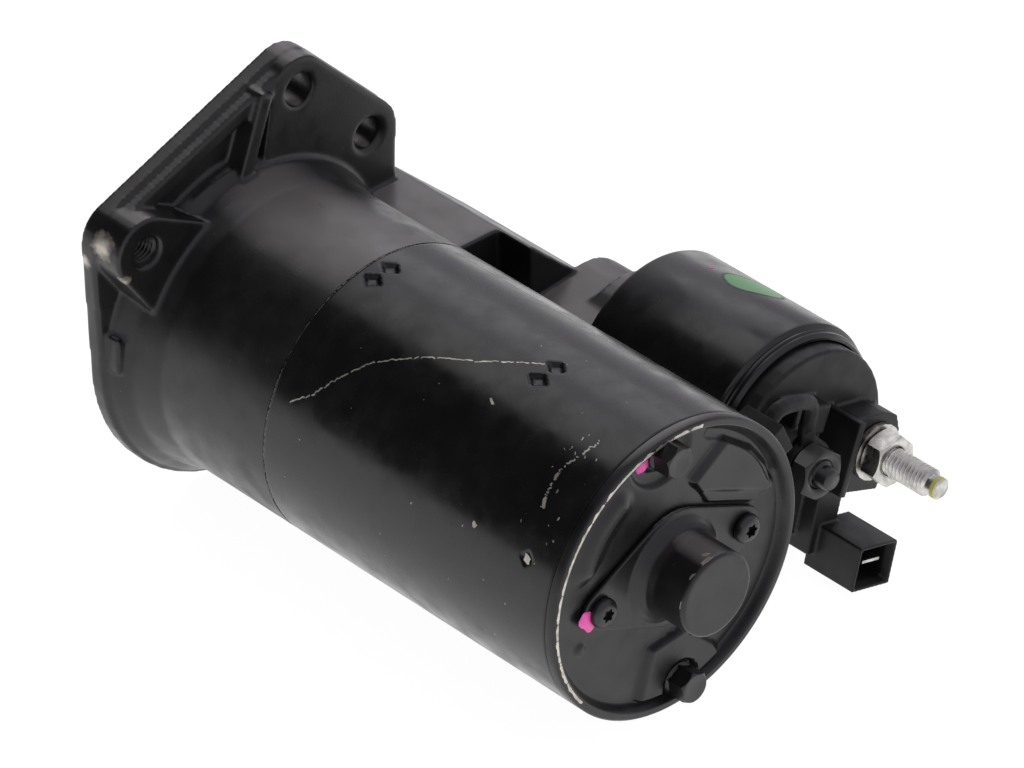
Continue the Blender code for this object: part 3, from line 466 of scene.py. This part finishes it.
def skin(rings, closed=False):
    """Faces between rings of points, with flat ends, or with the last ring joined to the first."""
    bm = bmesh.new()
    loops = [[bm.verts.new(p) for p in ring] for ring in rings]
    pairs = list(zip(loops, loops[1:]))
    if closed:
        pairs.append((loops[-1], loops[0]))
    for a, b in pairs:
        for i in range(len(a)):
            j = (i + 1) % len(a)
            bm.faces.new((a[i], a[j], b[j], b[i]))
    if not closed:
        bm.faces.new(loops[0][::-1])
        bm.faces.new(loops[-1])
    return bm


def flat_ring(x, radius, centre, segments=40):
    return [(x, y, z) for y, z in circle(radius, centre, segments)]


def hole_thread():
    """Sleeve with an inside thread in the threaded flange hole."""
    start, end = 0.4, 13.4
    inside = threaded_shell(start, end, 4.1, THREAD_PITCH, 0.75, THREADED_HOLE)
    outside = [flat_ring(x, 4.6, THREADED_HOLE) for x in (end, start)]
    dress(to_object("flange_hole_thread", skin(inside + outside, closed=True)), "cast_black")


# Tube
# (x, degrees round the axis, half length along x, half width round the tube, depth)
TUBE_DENTS = [(65, 102, 3.6, 2.7, 1.1), (65, 93.5, 3.6, 2.7, 1.1), (126, 102, 3.6, 2.7, 1.1),
              (126, 93.5, 3.6, 2.7, 1.1), (154, 158, 2.4, 2.4, 0.4)]


def dent_depth(x, degrees):
    depth = 0.0
    for dent_x, dent_degrees, half_x, half_round, deep in TUBE_DENTS:
        around = math.radians(degrees - dent_degrees) * TUBE_R
        if abs(around) < 2 * half_round and abs(x - dent_x) < 2 * half_x:
            distance = abs(x - dent_x) / half_x + abs(around) / half_round
            depth = max(depth, deep * smoothstep((1.05 - distance) / 0.5))
    return depth


def motor_tube():
    segments = 480
    columns = 220
    edge = 0.35
    xs = [TUBE_X[0] + edge + (TUBE_X[1] - TUBE_X[0] - 2 * edge) * k / columns for k in range(columns + 1)]
    rings = [flat_ring(TUBE_X[0], TUBE_R - 0.12, (0, 0), segments)]
    for x in xs:
        angles = [360 * i / segments for i in range(segments)]
        rings.append([(x, *polar(TUBE_R - dent_depth(x, a), a)) for a in angles])
    rings.append(flat_ring(TUBE_X[1], TUBE_R - 0.12, (0, 0), segments))
    rings += [flat_ring(x, TUBE_R - 3.0, (0, 0), segments) for x in (TUBE_X[1], TUBE_X[0])]
    tube = to_object("motor_tube", skin(rings, closed=True))
    low, high = local_box("lead_grommet")
    slot_middle = ((low.y + high.y) / 2, (low.z + high.z) / 2)
    angle = math.degrees(math.atan2(slot_middle[1], slot_middle[0]))
    out, side = Vector(polar(1, angle)), Vector(polar(1, angle + 90))
    corners = [Vector(slot_middle) + out * a + side * b for a, b in ((-6, -5), (7, -5), (7, 5), (-6, 5))]
    combine(tube, "DIFFERENCE", prism([tuple(c) for c in corners], low.x - 0.3, TUBE_X[1] + 2), "MANIFOLD")
    dress(tube, "tube_black", ["yoke"], sharp=30.0)


# End cover
DIAMOND_R = 16.5
DOME_R = 11.7
DIAMOND_TIP_R = 5.6
DIAMOND_REACH = 24.5
BOLT_FLANGE_R = 4.75
UPPER_BOLT = max(BOLT_CENTRES, key=lambda c: c[1])
# Corners of the raised panels, as (y, z)
PANEL = [(8, 22), (13, 14), (27, 7), (34, 9), (32, 15), (27, 22), (18, 29)]
LOWER_PANEL = [(-6, -23), (4, -22), (14, -31), (18, -37), (-11, -39)]


def diamond_distance(y, z):
    """Distance outside the diamond bearing cap, negative inside."""
    tilt = math.atan2(SCREW_CENTRES[0][1], SCREW_CENTRES[0][0])
    along = abs(y * math.cos(tilt) + z * math.sin(tilt))
    across = abs(-y * math.sin(tilt) + z * math.cos(tilt))
    slope = math.acos((DIAMOND_R - DIAMOND_TIP_R) / DIAMOND_REACH)
    on_edge = -along * math.sin(slope) + across * math.cos(slope)
    if on_edge > 0:
        return math.hypot(along, across) - DIAMOND_R
    if on_edge < -DIAMOND_REACH * math.sin(slope):
        return math.hypot(along - DIAMOND_REACH, across) - DIAMOND_TIP_R
    return along * math.cos(slope) + across * math.sin(slope) - DIAMOND_R


def polygon_distance(y, z, corners):
    """Distance outside an anticlockwise or clockwise polygon, negative inside."""
    best, inside = 1e9, False
    for (ay, az), (by, bz) in zip(corners, corners[1:] + corners[:1]):
        edge = Vector((by - ay, bz - az))
        t = max(0.0, min(1.0, ((y - ay) * edge.x + (z - az) * edge.y) / edge.length_squared))
        best = min(best, math.hypot(y - ay - t * edge.x, z - az - t * edge.y))
        if (az > z) != (bz > z) and y < ay + (z - az) / (bz - az) * (by - ay):
            inside = not inside
    return -best if inside else best


def arc_distance(y, z, radius, start, end):
    """Distance from an arc round the motor axis."""
    degrees = max(start, min(end, math.degrees(math.atan2(z, y)) % 360))
    nearest = polar(radius, degrees)
    return math.hypot(y - nearest[0], z - nearest[1])


RAISED = 1.8
CRESCENT_HEIGHT = 1.9
GROOVE_DEPTH = 0.7
BOLT_POCKET_DEPTH = 1.5


def cover_relief(y, z):
    """Height of the pressed relief above the cover's face."""
    height = CRESCENT_HEIGHT * smoothstep((5.6 - arc_distance(y, z, 31, 124, 156)) / 5.0)
    height = max(height, RAISED * smoothstep(1.0 - polygon_distance(y, z, PANEL) / 1.7))
    height = max(height, RAISED * smoothstep(1.0 - polygon_distance(y, z, LOWER_PANEL) / 2.2))
    height -= GROOVE_DEPTH * smoothstep((2.2 - abs(diamond_distance(y, z) - 3.0)) / 1.6)
    height = max(height, 0.8 * smoothstep((2.2 - math.hypot(y + 30.0, z + 10.7)) / 1.6))
    height -= GROOVE_DEPTH * smoothstep((2.2 - arc_distance(y, z, 35.9, 20.0, 68.0)) / 1.2)
    from_bolt = math.hypot(y - UPPER_BOLT[0], z - UPPER_BOLT[1])
    height -= BOLT_POCKET_DEPTH * smoothstep((10.5 - from_bolt) / 1.6)
    for centre in BOLT_CENTRES:
        away = math.hypot(y - centre[0], z - centre[1])
        height *= 1.0 - smoothstep((BOLT_FLANGE_R + 1.4 - away) / 1.0)
    return height * smoothstep((diamond_distance(y, z) - 0.6) / 1.4)


def cover_profile_x(radius):
    """X of the cover's outside without its relief: a flat face, a slope and a flat rim."""
    slope_start, slope_end = TUBE_R - 4.0, TUBE_R - 1.9
    rise = smoothstep((radius - slope_start) / (slope_end - slope_start))
    round_off = max(0.0, radius - (TUBE_R - 0.7)) ** 2
    return COVER_FACE_X + (COVER_RIM_X - COVER_FACE_X) * rise - round_off


def end_cover():
    segments = 360
    rows = 130
    hole_r = 8.3
    rings = []
    for k in range(rows + 1):
        radius = hole_r + (TUBE_R - hole_r) * k / rows
        fade = 1.0 - smoothstep((radius - TUBE_R + 4.6) / 1.2)
        ring = []
        for i in range(segments):
            y, z = polar(radius, 360 * i / segments)
            ring.append((cover_profile_x(radius) + fade * cover_relief(y, z), y, z))
        rings.append(ring)
    back = [(COVER_STEP_X, TUBE_R), (COVER_STEP_X, 38.2), (COVER_X[0], 38.2), (COVER_X[0], hole_r)]
    rings += [flat_ring(x, radius, (0, 0), segments) for x, radius in back]
    dress(to_object("pressed_end_cover", skin(rings, closed=True)), "cast_black", ["end_cover"], sharp=50.0)


def bearing_cap():
    cap = copy_of("bearing_cap", "diamond_bearing_cap")
    base, top = COVER_FACE_X + 1.6, span_x("bearing_cap")[1]
    dome = [(base - 0.8, 0), (base - 0.8, 15.2), (base + 0.4, 14.6), (base + 1.4, 13.4), (base + 3.0, 12.3),
            (base + 5.4, DOME_R), (top - 0.9, DOME_R), (top - 0.2, DOME_R - 0.3), (top, DOME_R - 1.0),
            (top, 0)]
    combine(cap, "UNION", lathe(dome))
    soften(cap, CAP_VOXEL, CAP_ROUNDS)
    dress(cap, "cast_black", ["bearing_cap"], sharp=60.0)


def hexagon(across_flats, centre, first):
    return [polar(across_flats / math.sqrt(3), first + 60 * i, centre) for i in range(6)]


def hex_body(name, centre, x0, x1, across_flats, first, chamfer=0.8, both=False):
    """Hexagon with its corners turned off at the outer end, and at the inner end if both."""
    obj = to_object(name, prism(hexagon(across_flats, centre, first), x0, x1))
    corner_r = across_flats / math.sqrt(3) + 0.05
    flat_r = across_flats / 2 - 0.1
    inner_r = flat_r if both else corner_r
    turned = [(x0, 0), (x0, inner_r), (x0 + (chamfer if both else 0.01), corner_r), (x1 - chamfer, corner_r),
              (x1, flat_r), (x1, 0)]
    combine(obj, "INTERSECT", lathe(turned, centre, 64))
    return obj


def through_bolts():
    for i, centre in enumerate(BOLT_CENTRES):
        node = f"through_bolt_{i + 1}"
        x0, x1 = span_x(node)
        seat = COVER_FACE_X + 0.3
        first = math.degrees(math.atan2(centre[1], centre[0]))
        bolt = hex_body(f"flanged_bolt_{i + 1}", centre, seat + 1.0, x1, 8.0, first, 0.7)
        flange = [(x0, 0), (x0, 2.3), (seat, 2.3), (seat, BOLT_FLANGE_R), (seat + 0.8, BOLT_FLANGE_R),
                  (seat + 1.5, BOLT_FLANGE_R - 0.6), (seat + 1.5, 0)]
        combine(bolt, "UNION", lathe(flange, centre, 48))
        dimple = [(x1 - 0.5, 0), (x1, 2.6), (x1 + 1, 2.6), (x1 + 1, 0)]
        combine(bolt, "DIFFERENCE", lathe(dimple, centre, 32))
        dress(bolt, "black_screw", [node])


def star_outline(outer, inner, centre, lobes=6, segments=48):
    middle, swing = (outer + inner) / 2, (outer - inner) / 2
    angles = [360 * i / segments for i in range(segments)]
    return [polar(middle + swing * math.cos(math.radians(lobes * a)), a, centre) for a in angles]


def cap_screws():
    for i, centre in enumerate(SCREW_CENTRES):
        node = f"cap_screw_{i + 1}"
        x0, x1 = span_x(node)
        seat = x1 - 2.5
        head = [(x0, 0), (x0, 2.0), (seat, 2.0), (seat, 3.8), (seat + 0.4, 4.0), (seat + 1.3, 3.9),
                (seat + 2.0, 3.4), (seat + 2.4, 2.7), (x1, 2.0), (x1, 0)]
        screw = to_object(f"six_lobe_screw_{i + 1}", lathe(head, centre, 48))
        combine(screw, "DIFFERENCE", prism(star_outline(1.95, 1.35, centre), x1 - 1.5, x1 + 1))
        dress(screw, "black_screw", [node])


# Solenoid
def solenoid_can():
    x0, x1 = CAN_X
    crimp = x1 - 3.5
    profile = [(x0, 10.2), (x0, CAN_R - 1.6), (x0 + 0.5, CAN_R - 0.5), (x0 + 1.6, CAN_R),
               (crimp - 1.4, CAN_R),
               (crimp - 0.5, CAN_R - 0.15), (crimp, CAN_R - 0.6), (crimp + 0.4, CAN_R - 1.3),
               (crimp + 0.8, CAN_R - 1.1), (crimp + 1.2, CAN_R - 1.1), (crimp + 1.5, CAN_R - 1.6),
               (crimp + 1.9, CAN_R - 1.4), (crimp + 2.5, CAN_R - 1.5), (crimp + 3.1, CAN_R - 2.0),
               (x1, 27.7), (x1, 27.0), (x0 + 4.0, 27.0), (x0 + 4.0, 10.2)]
    can = to_object("solenoid_can", lathe(profile, CAN_CENTRE, 160))
    dress(can, "tube_black", ["solenoid_case"], sharp=25.0)


def moulded_cap():
    cap = copy_of("solenoid_cap", "moulded_solenoid_cap")
    rings = []
    for x, wall in ((CONNECTOR_END_X - 2.6, CONNECTOR_WALL), (CONNECTOR_END_X + 0.1, 0.5)):
        width, height = (side - 2 * wall for side in CONNECTOR_SIZE)
        rings.append([(x, *corner) for corner in rectangle(width, height, CONNECTOR_CENTRE, CONNECTOR_TILT)])
    combine(cap, "DIFFERENCE", skin(rings))
    soften(cap, MOULDED_VOXEL, MOULDED_ROUNDS)
    dress(cap, "moulded_black", ["solenoid_cap"], sharp=50.0)


def rectangle(width, height, centre, tilt):
    corners = [(-0.5, -0.5), (0.5, -0.5), (0.5, 0.5), (-0.5, 0.5)]
    c, s = polar(1, tilt)
    return [(centre[0] + a * width * c - b * height * s, centre[1] + a * width * s + b * height * c)
            for a, b in corners]


def soft_rubber():
    """The lead and its grommet, with their facets smoothed away."""
    for node, name in (("motor_lead", "smooth_motor_lead"), ("lead_grommet", "smooth_lead_grommet")):
        piece = copy_of(node, name)
        soften(piece, RUBBER_VOXEL, RUBBER_ROUNDS)
        dress(piece, "black_rubber", [node], sharp=70.0)


def coil_springs():
    """Steel copies of the two springs, shaded smooth, in place of the CAD springs."""
    for node, name, body in (("plunger_spring", "plunger_return_spring", "plunger"),
                             ("contact_spring", "contact_return_spring", "contact")):
        spring = copy_of(node, name)
        spring.data.materials.clear()
        spring.data.materials.append(MATERIALS["bare_steel"])
        spring.data.shade_smooth()
        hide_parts(node)
        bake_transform(spring)


def terminal_stud(name, node, centre, slot):
    x0, x1 = span_x(node)
    thread_end = x1 - 4.0
    head = [flat_ring(x, r, centre) for x, r in ((x0, 5.5), (x0 + 2.6, 5.5), (x0 + 2.6, STUD_R - 0.1))]
    thread = threaded_shell(x0 + 3.0, thread_end, STUD_R, THREAD_PITCH, THREAD_DEPTH, centre)
    tip = [flat_ring(x, r, centre) for x, r in ((thread_end + 0.6, 3.0), (x1 - 0.5, 2.9), (x1, 2.4))]
    dress(to_object(name, skin(head + thread + tip)), slot, [node], sharp=50.0)


def hex_nut(name, node, centre, slot, first):
    x0, x1 = span_x(node)
    nut = hex_body(name, centre, x0, x1, 13.0, first, 0.9, both=True)
    hole = [(x0 - 1, 0), (x0 - 1, 4.9), (x0, 4.9), (x0 + 0.6, STUD_R + 0.15), (x1 - 0.6, STUD_R + 0.15),
            (x1, 4.9), (x1 + 1, 4.9), (x1 + 1, 0)]
    combine(nut, "DIFFERENCE", lathe(hole, centre, 48))
    dress(nut, slot, [node])


def terminals():
    terminal_stud("battery_terminal_stud", "battery_stud", BATTERY, "zinc_plate")
    terminal_stud("motor_terminal_stud", "motor_stud", MOTOR, "black_screw")
    hex_nut("battery_hex_nut", "battery_nut", BATTERY, "zinc_plate", 12.0)
    hex_nut("motor_hex_nut", "motor_nut", MOTOR, "cast_black", 20.0)
    x1 = span_x("battery_stud")[1]
    dab = [(x1 - 1.6, 0), (x1 - 1.6, 3.05), (x1 - 0.5, 2.98), (x1 - 0.02, 2.2), (x1 - 0.02, 0)]
    dress(to_object("stud_tip_paint", lathe(dab, BATTERY, 40)), "zinc_plate", material="yellow")


# Marks: thin shapes that lie on a surface
LIFT = 0.03
OVAL_CENTRE = (107.0, 66.0)
OVAL_TURN = -31.0


def on_tube(x, degrees):
    return Vector((x, *polar(TUBE_R + LIFT, degrees)))


def on_can(x, degrees):
    return Vector((x, *polar(CAN_R + LIFT, degrees, CAN_CENTRE)))


def ribbon(name, surface, points, width, gaps):
    """Ragged scratch across a surface through (x, degrees) points; larger gaps break it up more."""
    steps = 26
    bm = bmesh.new()
    previous = None
    total = len(points) - 1
    for k in range(total * steps + 1):
        part = min(k // steps, total - 1)
        t = k / steps - part
        x = points[part][0] * (1 - t) + points[part + 1][0] * t
        degrees = points[part][1] * (1 - t) + points[part + 1][1] * t
        ahead = Vector(surface(points[part + 1][0], points[part + 1][1])) - surface(*points[part])
        wander = noise.noise(Vector((x * 0.9, degrees * 0.9, 4.0))) * width
        half = width * (0.55 + 0.9 * abs(noise.noise(Vector((x * 0.8, degrees * 0.8, 9.0))))) / 2
        here = surface(x, degrees)
        out = (surface(x, degrees) - Vector((x, 0, 0))).normalized()
        side = ahead.normalized().cross(out).normalized()
        broken = noise.noise(Vector((x * 1.3, degrees * 1.3, 20.0))) < gaps - 0.5
        pair = [bm.verts.new(here + side * (wander + half)), bm.verts.new(here + side * (wander - half))]
        if previous and not broken:
            bm.faces.new((previous[0], previous[1], pair[1], pair[0]))
        previous = pair
    bmesh.ops.delete(bm, geom=[v for v in bm.verts if not v.link_faces], context="VERTS")
    dress(to_object(name, bm), "zinc_plate", material="scratch")


def chip_outline(half_long, half_wide, turn):
    """Ragged oval as (along, across) points."""
    points = 11
    outline = []
    for i in range(points):
        ragged = random.uniform(0.55, 1.1)
        a, b = polar(1, 360 * i / points)
        along, across = a * half_long * ragged, b * half_wide * ragged
        c, s = polar(1, turn)
        outline.append((along * c - across * s, along * s + across * c))
    return outline


def chips(name, surface, radius, places, material="scratch"):
    """Flat chips of bare metal at (x, degrees, half length, half width, turn)."""
    bm = bmesh.new()
    for x, degrees, half_long, half_wide, turn in places:
        outline = chip_outline(half_long, half_wide, turn)
        corners = [bm.verts.new(surface(x + a, degrees + math.degrees(b / radius))) for a, b in outline]
        bm.faces.new(corners)
    dress(to_object(name, bm), "zinc_plate", material=material)


def flat_dab(name, centre, x, half_long, half_wide, turn, thickness):
    """Low pink paint dab on a face across X. Turn, in degrees, tilts it and also varies its wavy edge."""
    points = 20
    shoulder = 0.7
    shoulder_height = 0.85
    bm = bmesh.new()
    top = bm.verts.new((x + thickness, *centre))
    edge = []
    for i in range(points):
        degrees = 360 * i / points
        phase = math.radians(degrees)
        wave = 1.0 + 0.14 * math.sin(3 * phase + turn) + 0.08 * math.sin(5 * phase)
        a, b = polar(1, degrees)
        c, s = polar(1, turn)
        y = centre[0] + wave * (a * half_long * c - b * half_wide * s)
        z = centre[1] + wave * (a * half_long * s + b * half_wide * c)
        edge.append(((y, z), bm.verts.new((x, y, z))))
    middle = []
    for (y, z), _ in edge:
        inner = (centre[0] + shoulder * (y - centre[0]), centre[1] + shoulder * (z - centre[1]))
        middle.append(bm.verts.new((x + thickness * shoulder_height, *inner)))
    for i in range(points):
        j = (i + 1) % points
        bm.faces.new((edge[i][1], edge[j][1], middle[j], middle[i]))
        bm.faces.new((middle[i], middle[j], top))
    dress(to_object(name, bm), "cast_black", material="pink", sharp=80.0)


def tube_marks():
    long_scratch = [(66, 155), (72, 149), (78, 138), (84, 128), (97, 116), (109, 108), (123, 95)]
    ribbon("long_scratch", on_tube, long_scratch, 0.5, 0.2)
    edge_scratch = [(152, 140), (151, 130), (151, 125), (153, 117), (154, 110)]
    ribbon("edge_scratch", on_tube, edge_scratch, 0.8, 0.42)
    ribbon("seam_line", on_tube, [(SEAM_X + 0.32, a) for a in range(75, 215, 14)], 0.1, 0.3)
    # A bright metal line along the top of the tube, near its upper outline
    ribbon("bright_top_line", on_tube, [(66, 62), (95, 61), (122, 60)], 0.6, 0.3)
    places = [(121, 118, 1.6, 0.4, 30), (135, 157.5, 1.1, 0.8, 10), (154, 158, 1.5, 1.2, 40),
              (152, 138, 1.7, 0.8, 60), (151, 128.5, 1.2, 0.6, 80)]
    for _ in range(26):
        long, wide = random.uniform(0.12, 0.5), random.uniform(0.08, 0.22)
        places.append((random.uniform(62, 162), random.uniform(80, 215), long, wide, random.uniform(0, 180)))
    for _ in range(14):
        long, wide = random.uniform(0.2, 0.7), random.uniform(0.1, 0.3)
        x, degrees = random.uniform(148, 160), random.uniform(100, 150)
        places.append((x, degrees, long, wide, random.uniform(50, 100)))
    chips("tube_chips", on_tube, TUBE_R, places)


def oval_on_can(name, half_long, half_wide, inner, material):
    """Part of the painted oval on the can, from a share of its size out to its edge."""
    bm = bmesh.new()
    c, s = polar(1, OVAL_TURN)
    segments = 48
    steps = 8
    rings = []
    for k in range(steps + 1):
        share = inner + (1 - inner) * k / steps
        ring = []
        for i in range(segments):
            a, b = polar(share * (1 + 0.04 * math.sin(4 * math.tau * i / segments)), 360 * i / segments)
            along, across = a * half_long, b * half_wide
            x = OVAL_CENTRE[0] + along * c - across * s
            around = math.degrees((along * s + across * c) / CAN_R)
            ring.append(bm.verts.new(on_can(x, OVAL_CENTRE[1] + around)))
        rings.append(ring)
    for here, there in zip(rings, rings[1:]):
        for i in range(segments):
            j = (i + 1) % segments
            bm.faces.new((here[i], there[i], there[j], here[j]))
    dress(to_object(name, bm), "tube_black", material=material)


def can_marks():
    oval_on_can("green_mark", 8.0, 5.2, 0.02, "green")
    oval_on_can("green_mark_outline", 8.8, 5.9, 0.9, "dark_green")
    chips("pink_fleck", on_can, CAN_R, [(94.6, 72.5, 1.0, 0.8, 0)], material="pink")


def on_dome(x, degrees):
    return Vector((x, *polar(DOME_R + LIFT, degrees)))


def cover_marks():
    """Bright worn rim, chips on the dome, and paint dabs beside two fasteners."""
    bm = bmesh.new()
    previous = None
    for k in range(560):
        degrees = 78 + k * 0.25
        wobble = noise.noise(Vector((degrees * 0.35, 1.0, 3.0)))
        fine = noise.noise(Vector((degrees * 2.6, 7.0, 3.0)))
        half = max(0.06, 0.36 + 0.3 * wobble + 0.16 * fine)
        middle = TUBE_R - 1.3 + 0.25 * wobble
        pair = [bm.verts.new((COVER_RIM_X + LIFT, *polar(middle + half, degrees))),
                bm.verts.new((COVER_RIM_X + LIFT, *polar(middle - half, degrees)))]
        if previous and wobble + fine > -0.6:
            bm.faces.new((previous[0], previous[1], pair[1], pair[0]))
        previous = pair
    bmesh.ops.delete(bm, geom=[v for v in bm.verts if not v.link_faces], context="VERTS")
    dress(to_object("worn_rim", bm), "zinc_plate", material="scratch")
    edge_x = span_x("bearing_cap")[1] - 1.2
    chips("dome_chips", on_dome, DOME_R, [(edge_x, 104, 0.9, 2.0, 0), (edge_x - 1.6, 97, 0.9, 1.2, 30),
                                          (edge_x, 130, 0.4, 1.2, 10), (edge_x, 170, 0.3, 1.4, 0),
                                          (edge_x, 225, 0.7, 1.8, 0)])
    flat_dab("pink_dab_bolt", (-9.2, 35.2), COVER_FACE_X - 0.9, 2.9, 3.2, 20, 1.4)
    flat_dab("pink_dab_screw", (-29.0, -2.0), COVER_FACE_X + 1.5, 2.2, 3.6, 25, 0.6)


# Carried-over CAD nodes
def paint_cad_nodes():
    for part in frame["record"]["subparts"]:
        mesh = frame["nodes"][part["node"]].data
        mesh.materials.clear()
        mesh.materials.append(MATERIALS[part["material_slot"]])


# Stage
# The dark side of the room, as azimuth and elevation
DARK_SIDE = (313.0, 30.0)
ROOM_BRIGHTNESS = 0.62
DARK_SIDE_BRIGHTNESS = 0.03
FLOOR_GLOW = 0.95
FLOOR_HALF_SIZE_M = 4.0


def view_direction(azimuth, elevation):
    a, e = math.radians(azimuth), math.radians(elevation)
    return Vector((math.sin(a) * math.cos(e), -math.cos(a) * math.cos(e), math.sin(e)))


def add_camera():
    data = bpy.data.cameras.new("camera")
    data.lens = CAMERA_LENS
    data.sensor_width = 36.0
    data.clip_end = 20.0
    camera = bpy.data.objects.new("camera", data)
    back = view_direction(CAMERA_AZIMUTH, CAMERA_ELEVATION)
    camera.location = (CAMERA_TARGET + ORIGIN + back * CAMERA_DISTANCE) * MM
    camera.rotation_euler = (-back).to_track_quat("-Z", "Y").to_euler()
    bpy.context.scene.collection.objects.link(camera)
    bpy.context.scene.camera = camera


def area_light(name, azimuth, elevation, distance_m, size_m, power_w):
    data = bpy.data.lights.new(name, "AREA")
    data.size = size_m
    data.energy = power_w
    light = bpy.data.objects.new(name, data)
    direction = view_direction(azimuth, elevation)
    light.location = direction * distance_m
    light.rotation_euler = direction.to_track_quat("Z", "Y").to_euler()
    bpy.context.scene.collection.objects.link(light)


def add_stage():
    """Glowing white floor, a light behind, one overhead, and a bright room with one dark side.

    The tube's middle mirrors the dark side, so it stays black between its bright top and bottom.
    """
    bm = bmesh.new()
    bmesh.ops.create_grid(bm, x_segments=1, y_segments=1, size=FLOOR_HALF_SIZE_M)
    mesh = bpy.data.meshes.new("floor")
    bm.to_mesh(mesh)
    bm.free()
    floor = bpy.data.objects.new("floor", mesh)
    floor.location.z = CAD_BOX[0].z - 0.0002
    bpy.context.scene.collection.objects.link(floor)
    n = Nodes("pale_floor", (0.30, 0.30, 0.30), 0.9, specular=0.0)
    n.shader.inputs["Emission Color"].default_value = (1, 1, 1, 1)
    n.shader.inputs["Emission Strength"].default_value = FLOOR_GLOW
    mesh.materials.append(n.material)
    area_light("light_behind", 222.0, 36.0, 1.7, 0.7, 1.3)
    area_light("light_overhead", 258.0, 60.0, 1.7, 0.8, 2.2)

    world = bpy.data.worlds.new("room")
    world.use_nodes = True
    tree = world.node_tree
    place = tree.nodes.new("ShaderNodeTexCoord").outputs["Generated"]
    facing = tree.nodes.new("ShaderNodeVectorMath")
    facing.operation = "DOT_PRODUCT"
    facing.inputs[1].default_value = view_direction(*DARK_SIDE)
    dim = tree.nodes.new("ShaderNodeMapRange")
    dim.inputs["From Min"].default_value = 0.45
    dim.inputs["From Max"].default_value = 0.85
    dim.inputs["To Min"].default_value = ROOM_BRIGHTNESS
    dim.inputs["To Max"].default_value = DARK_SIDE_BRIGHTNESS
    tree.links.new(place, facing.inputs[0])
    tree.links.new(facing.outputs["Value"], dim.inputs["Value"])
    tree.links.new(dim.outputs["Result"], tree.nodes["Background"].inputs["Strength"])
    tree.nodes["Background"].inputs["Color"].default_value = (1.0, 0.96, 1.05, 1)
    bpy.context.scene.world = world
    bpy.context.scene.view_settings.view_transform = "Standard"


paint_cad_nodes()
cast_housing()
hole_thread()
motor_tube()
end_cover()
bearing_cap()
through_bolts()
cap_screws()
solenoid_can()
moulded_cap()
terminals()
soft_rubber()
coil_springs()
tube_marks()
can_marks()
cover_marks()
add_camera()
add_stage()
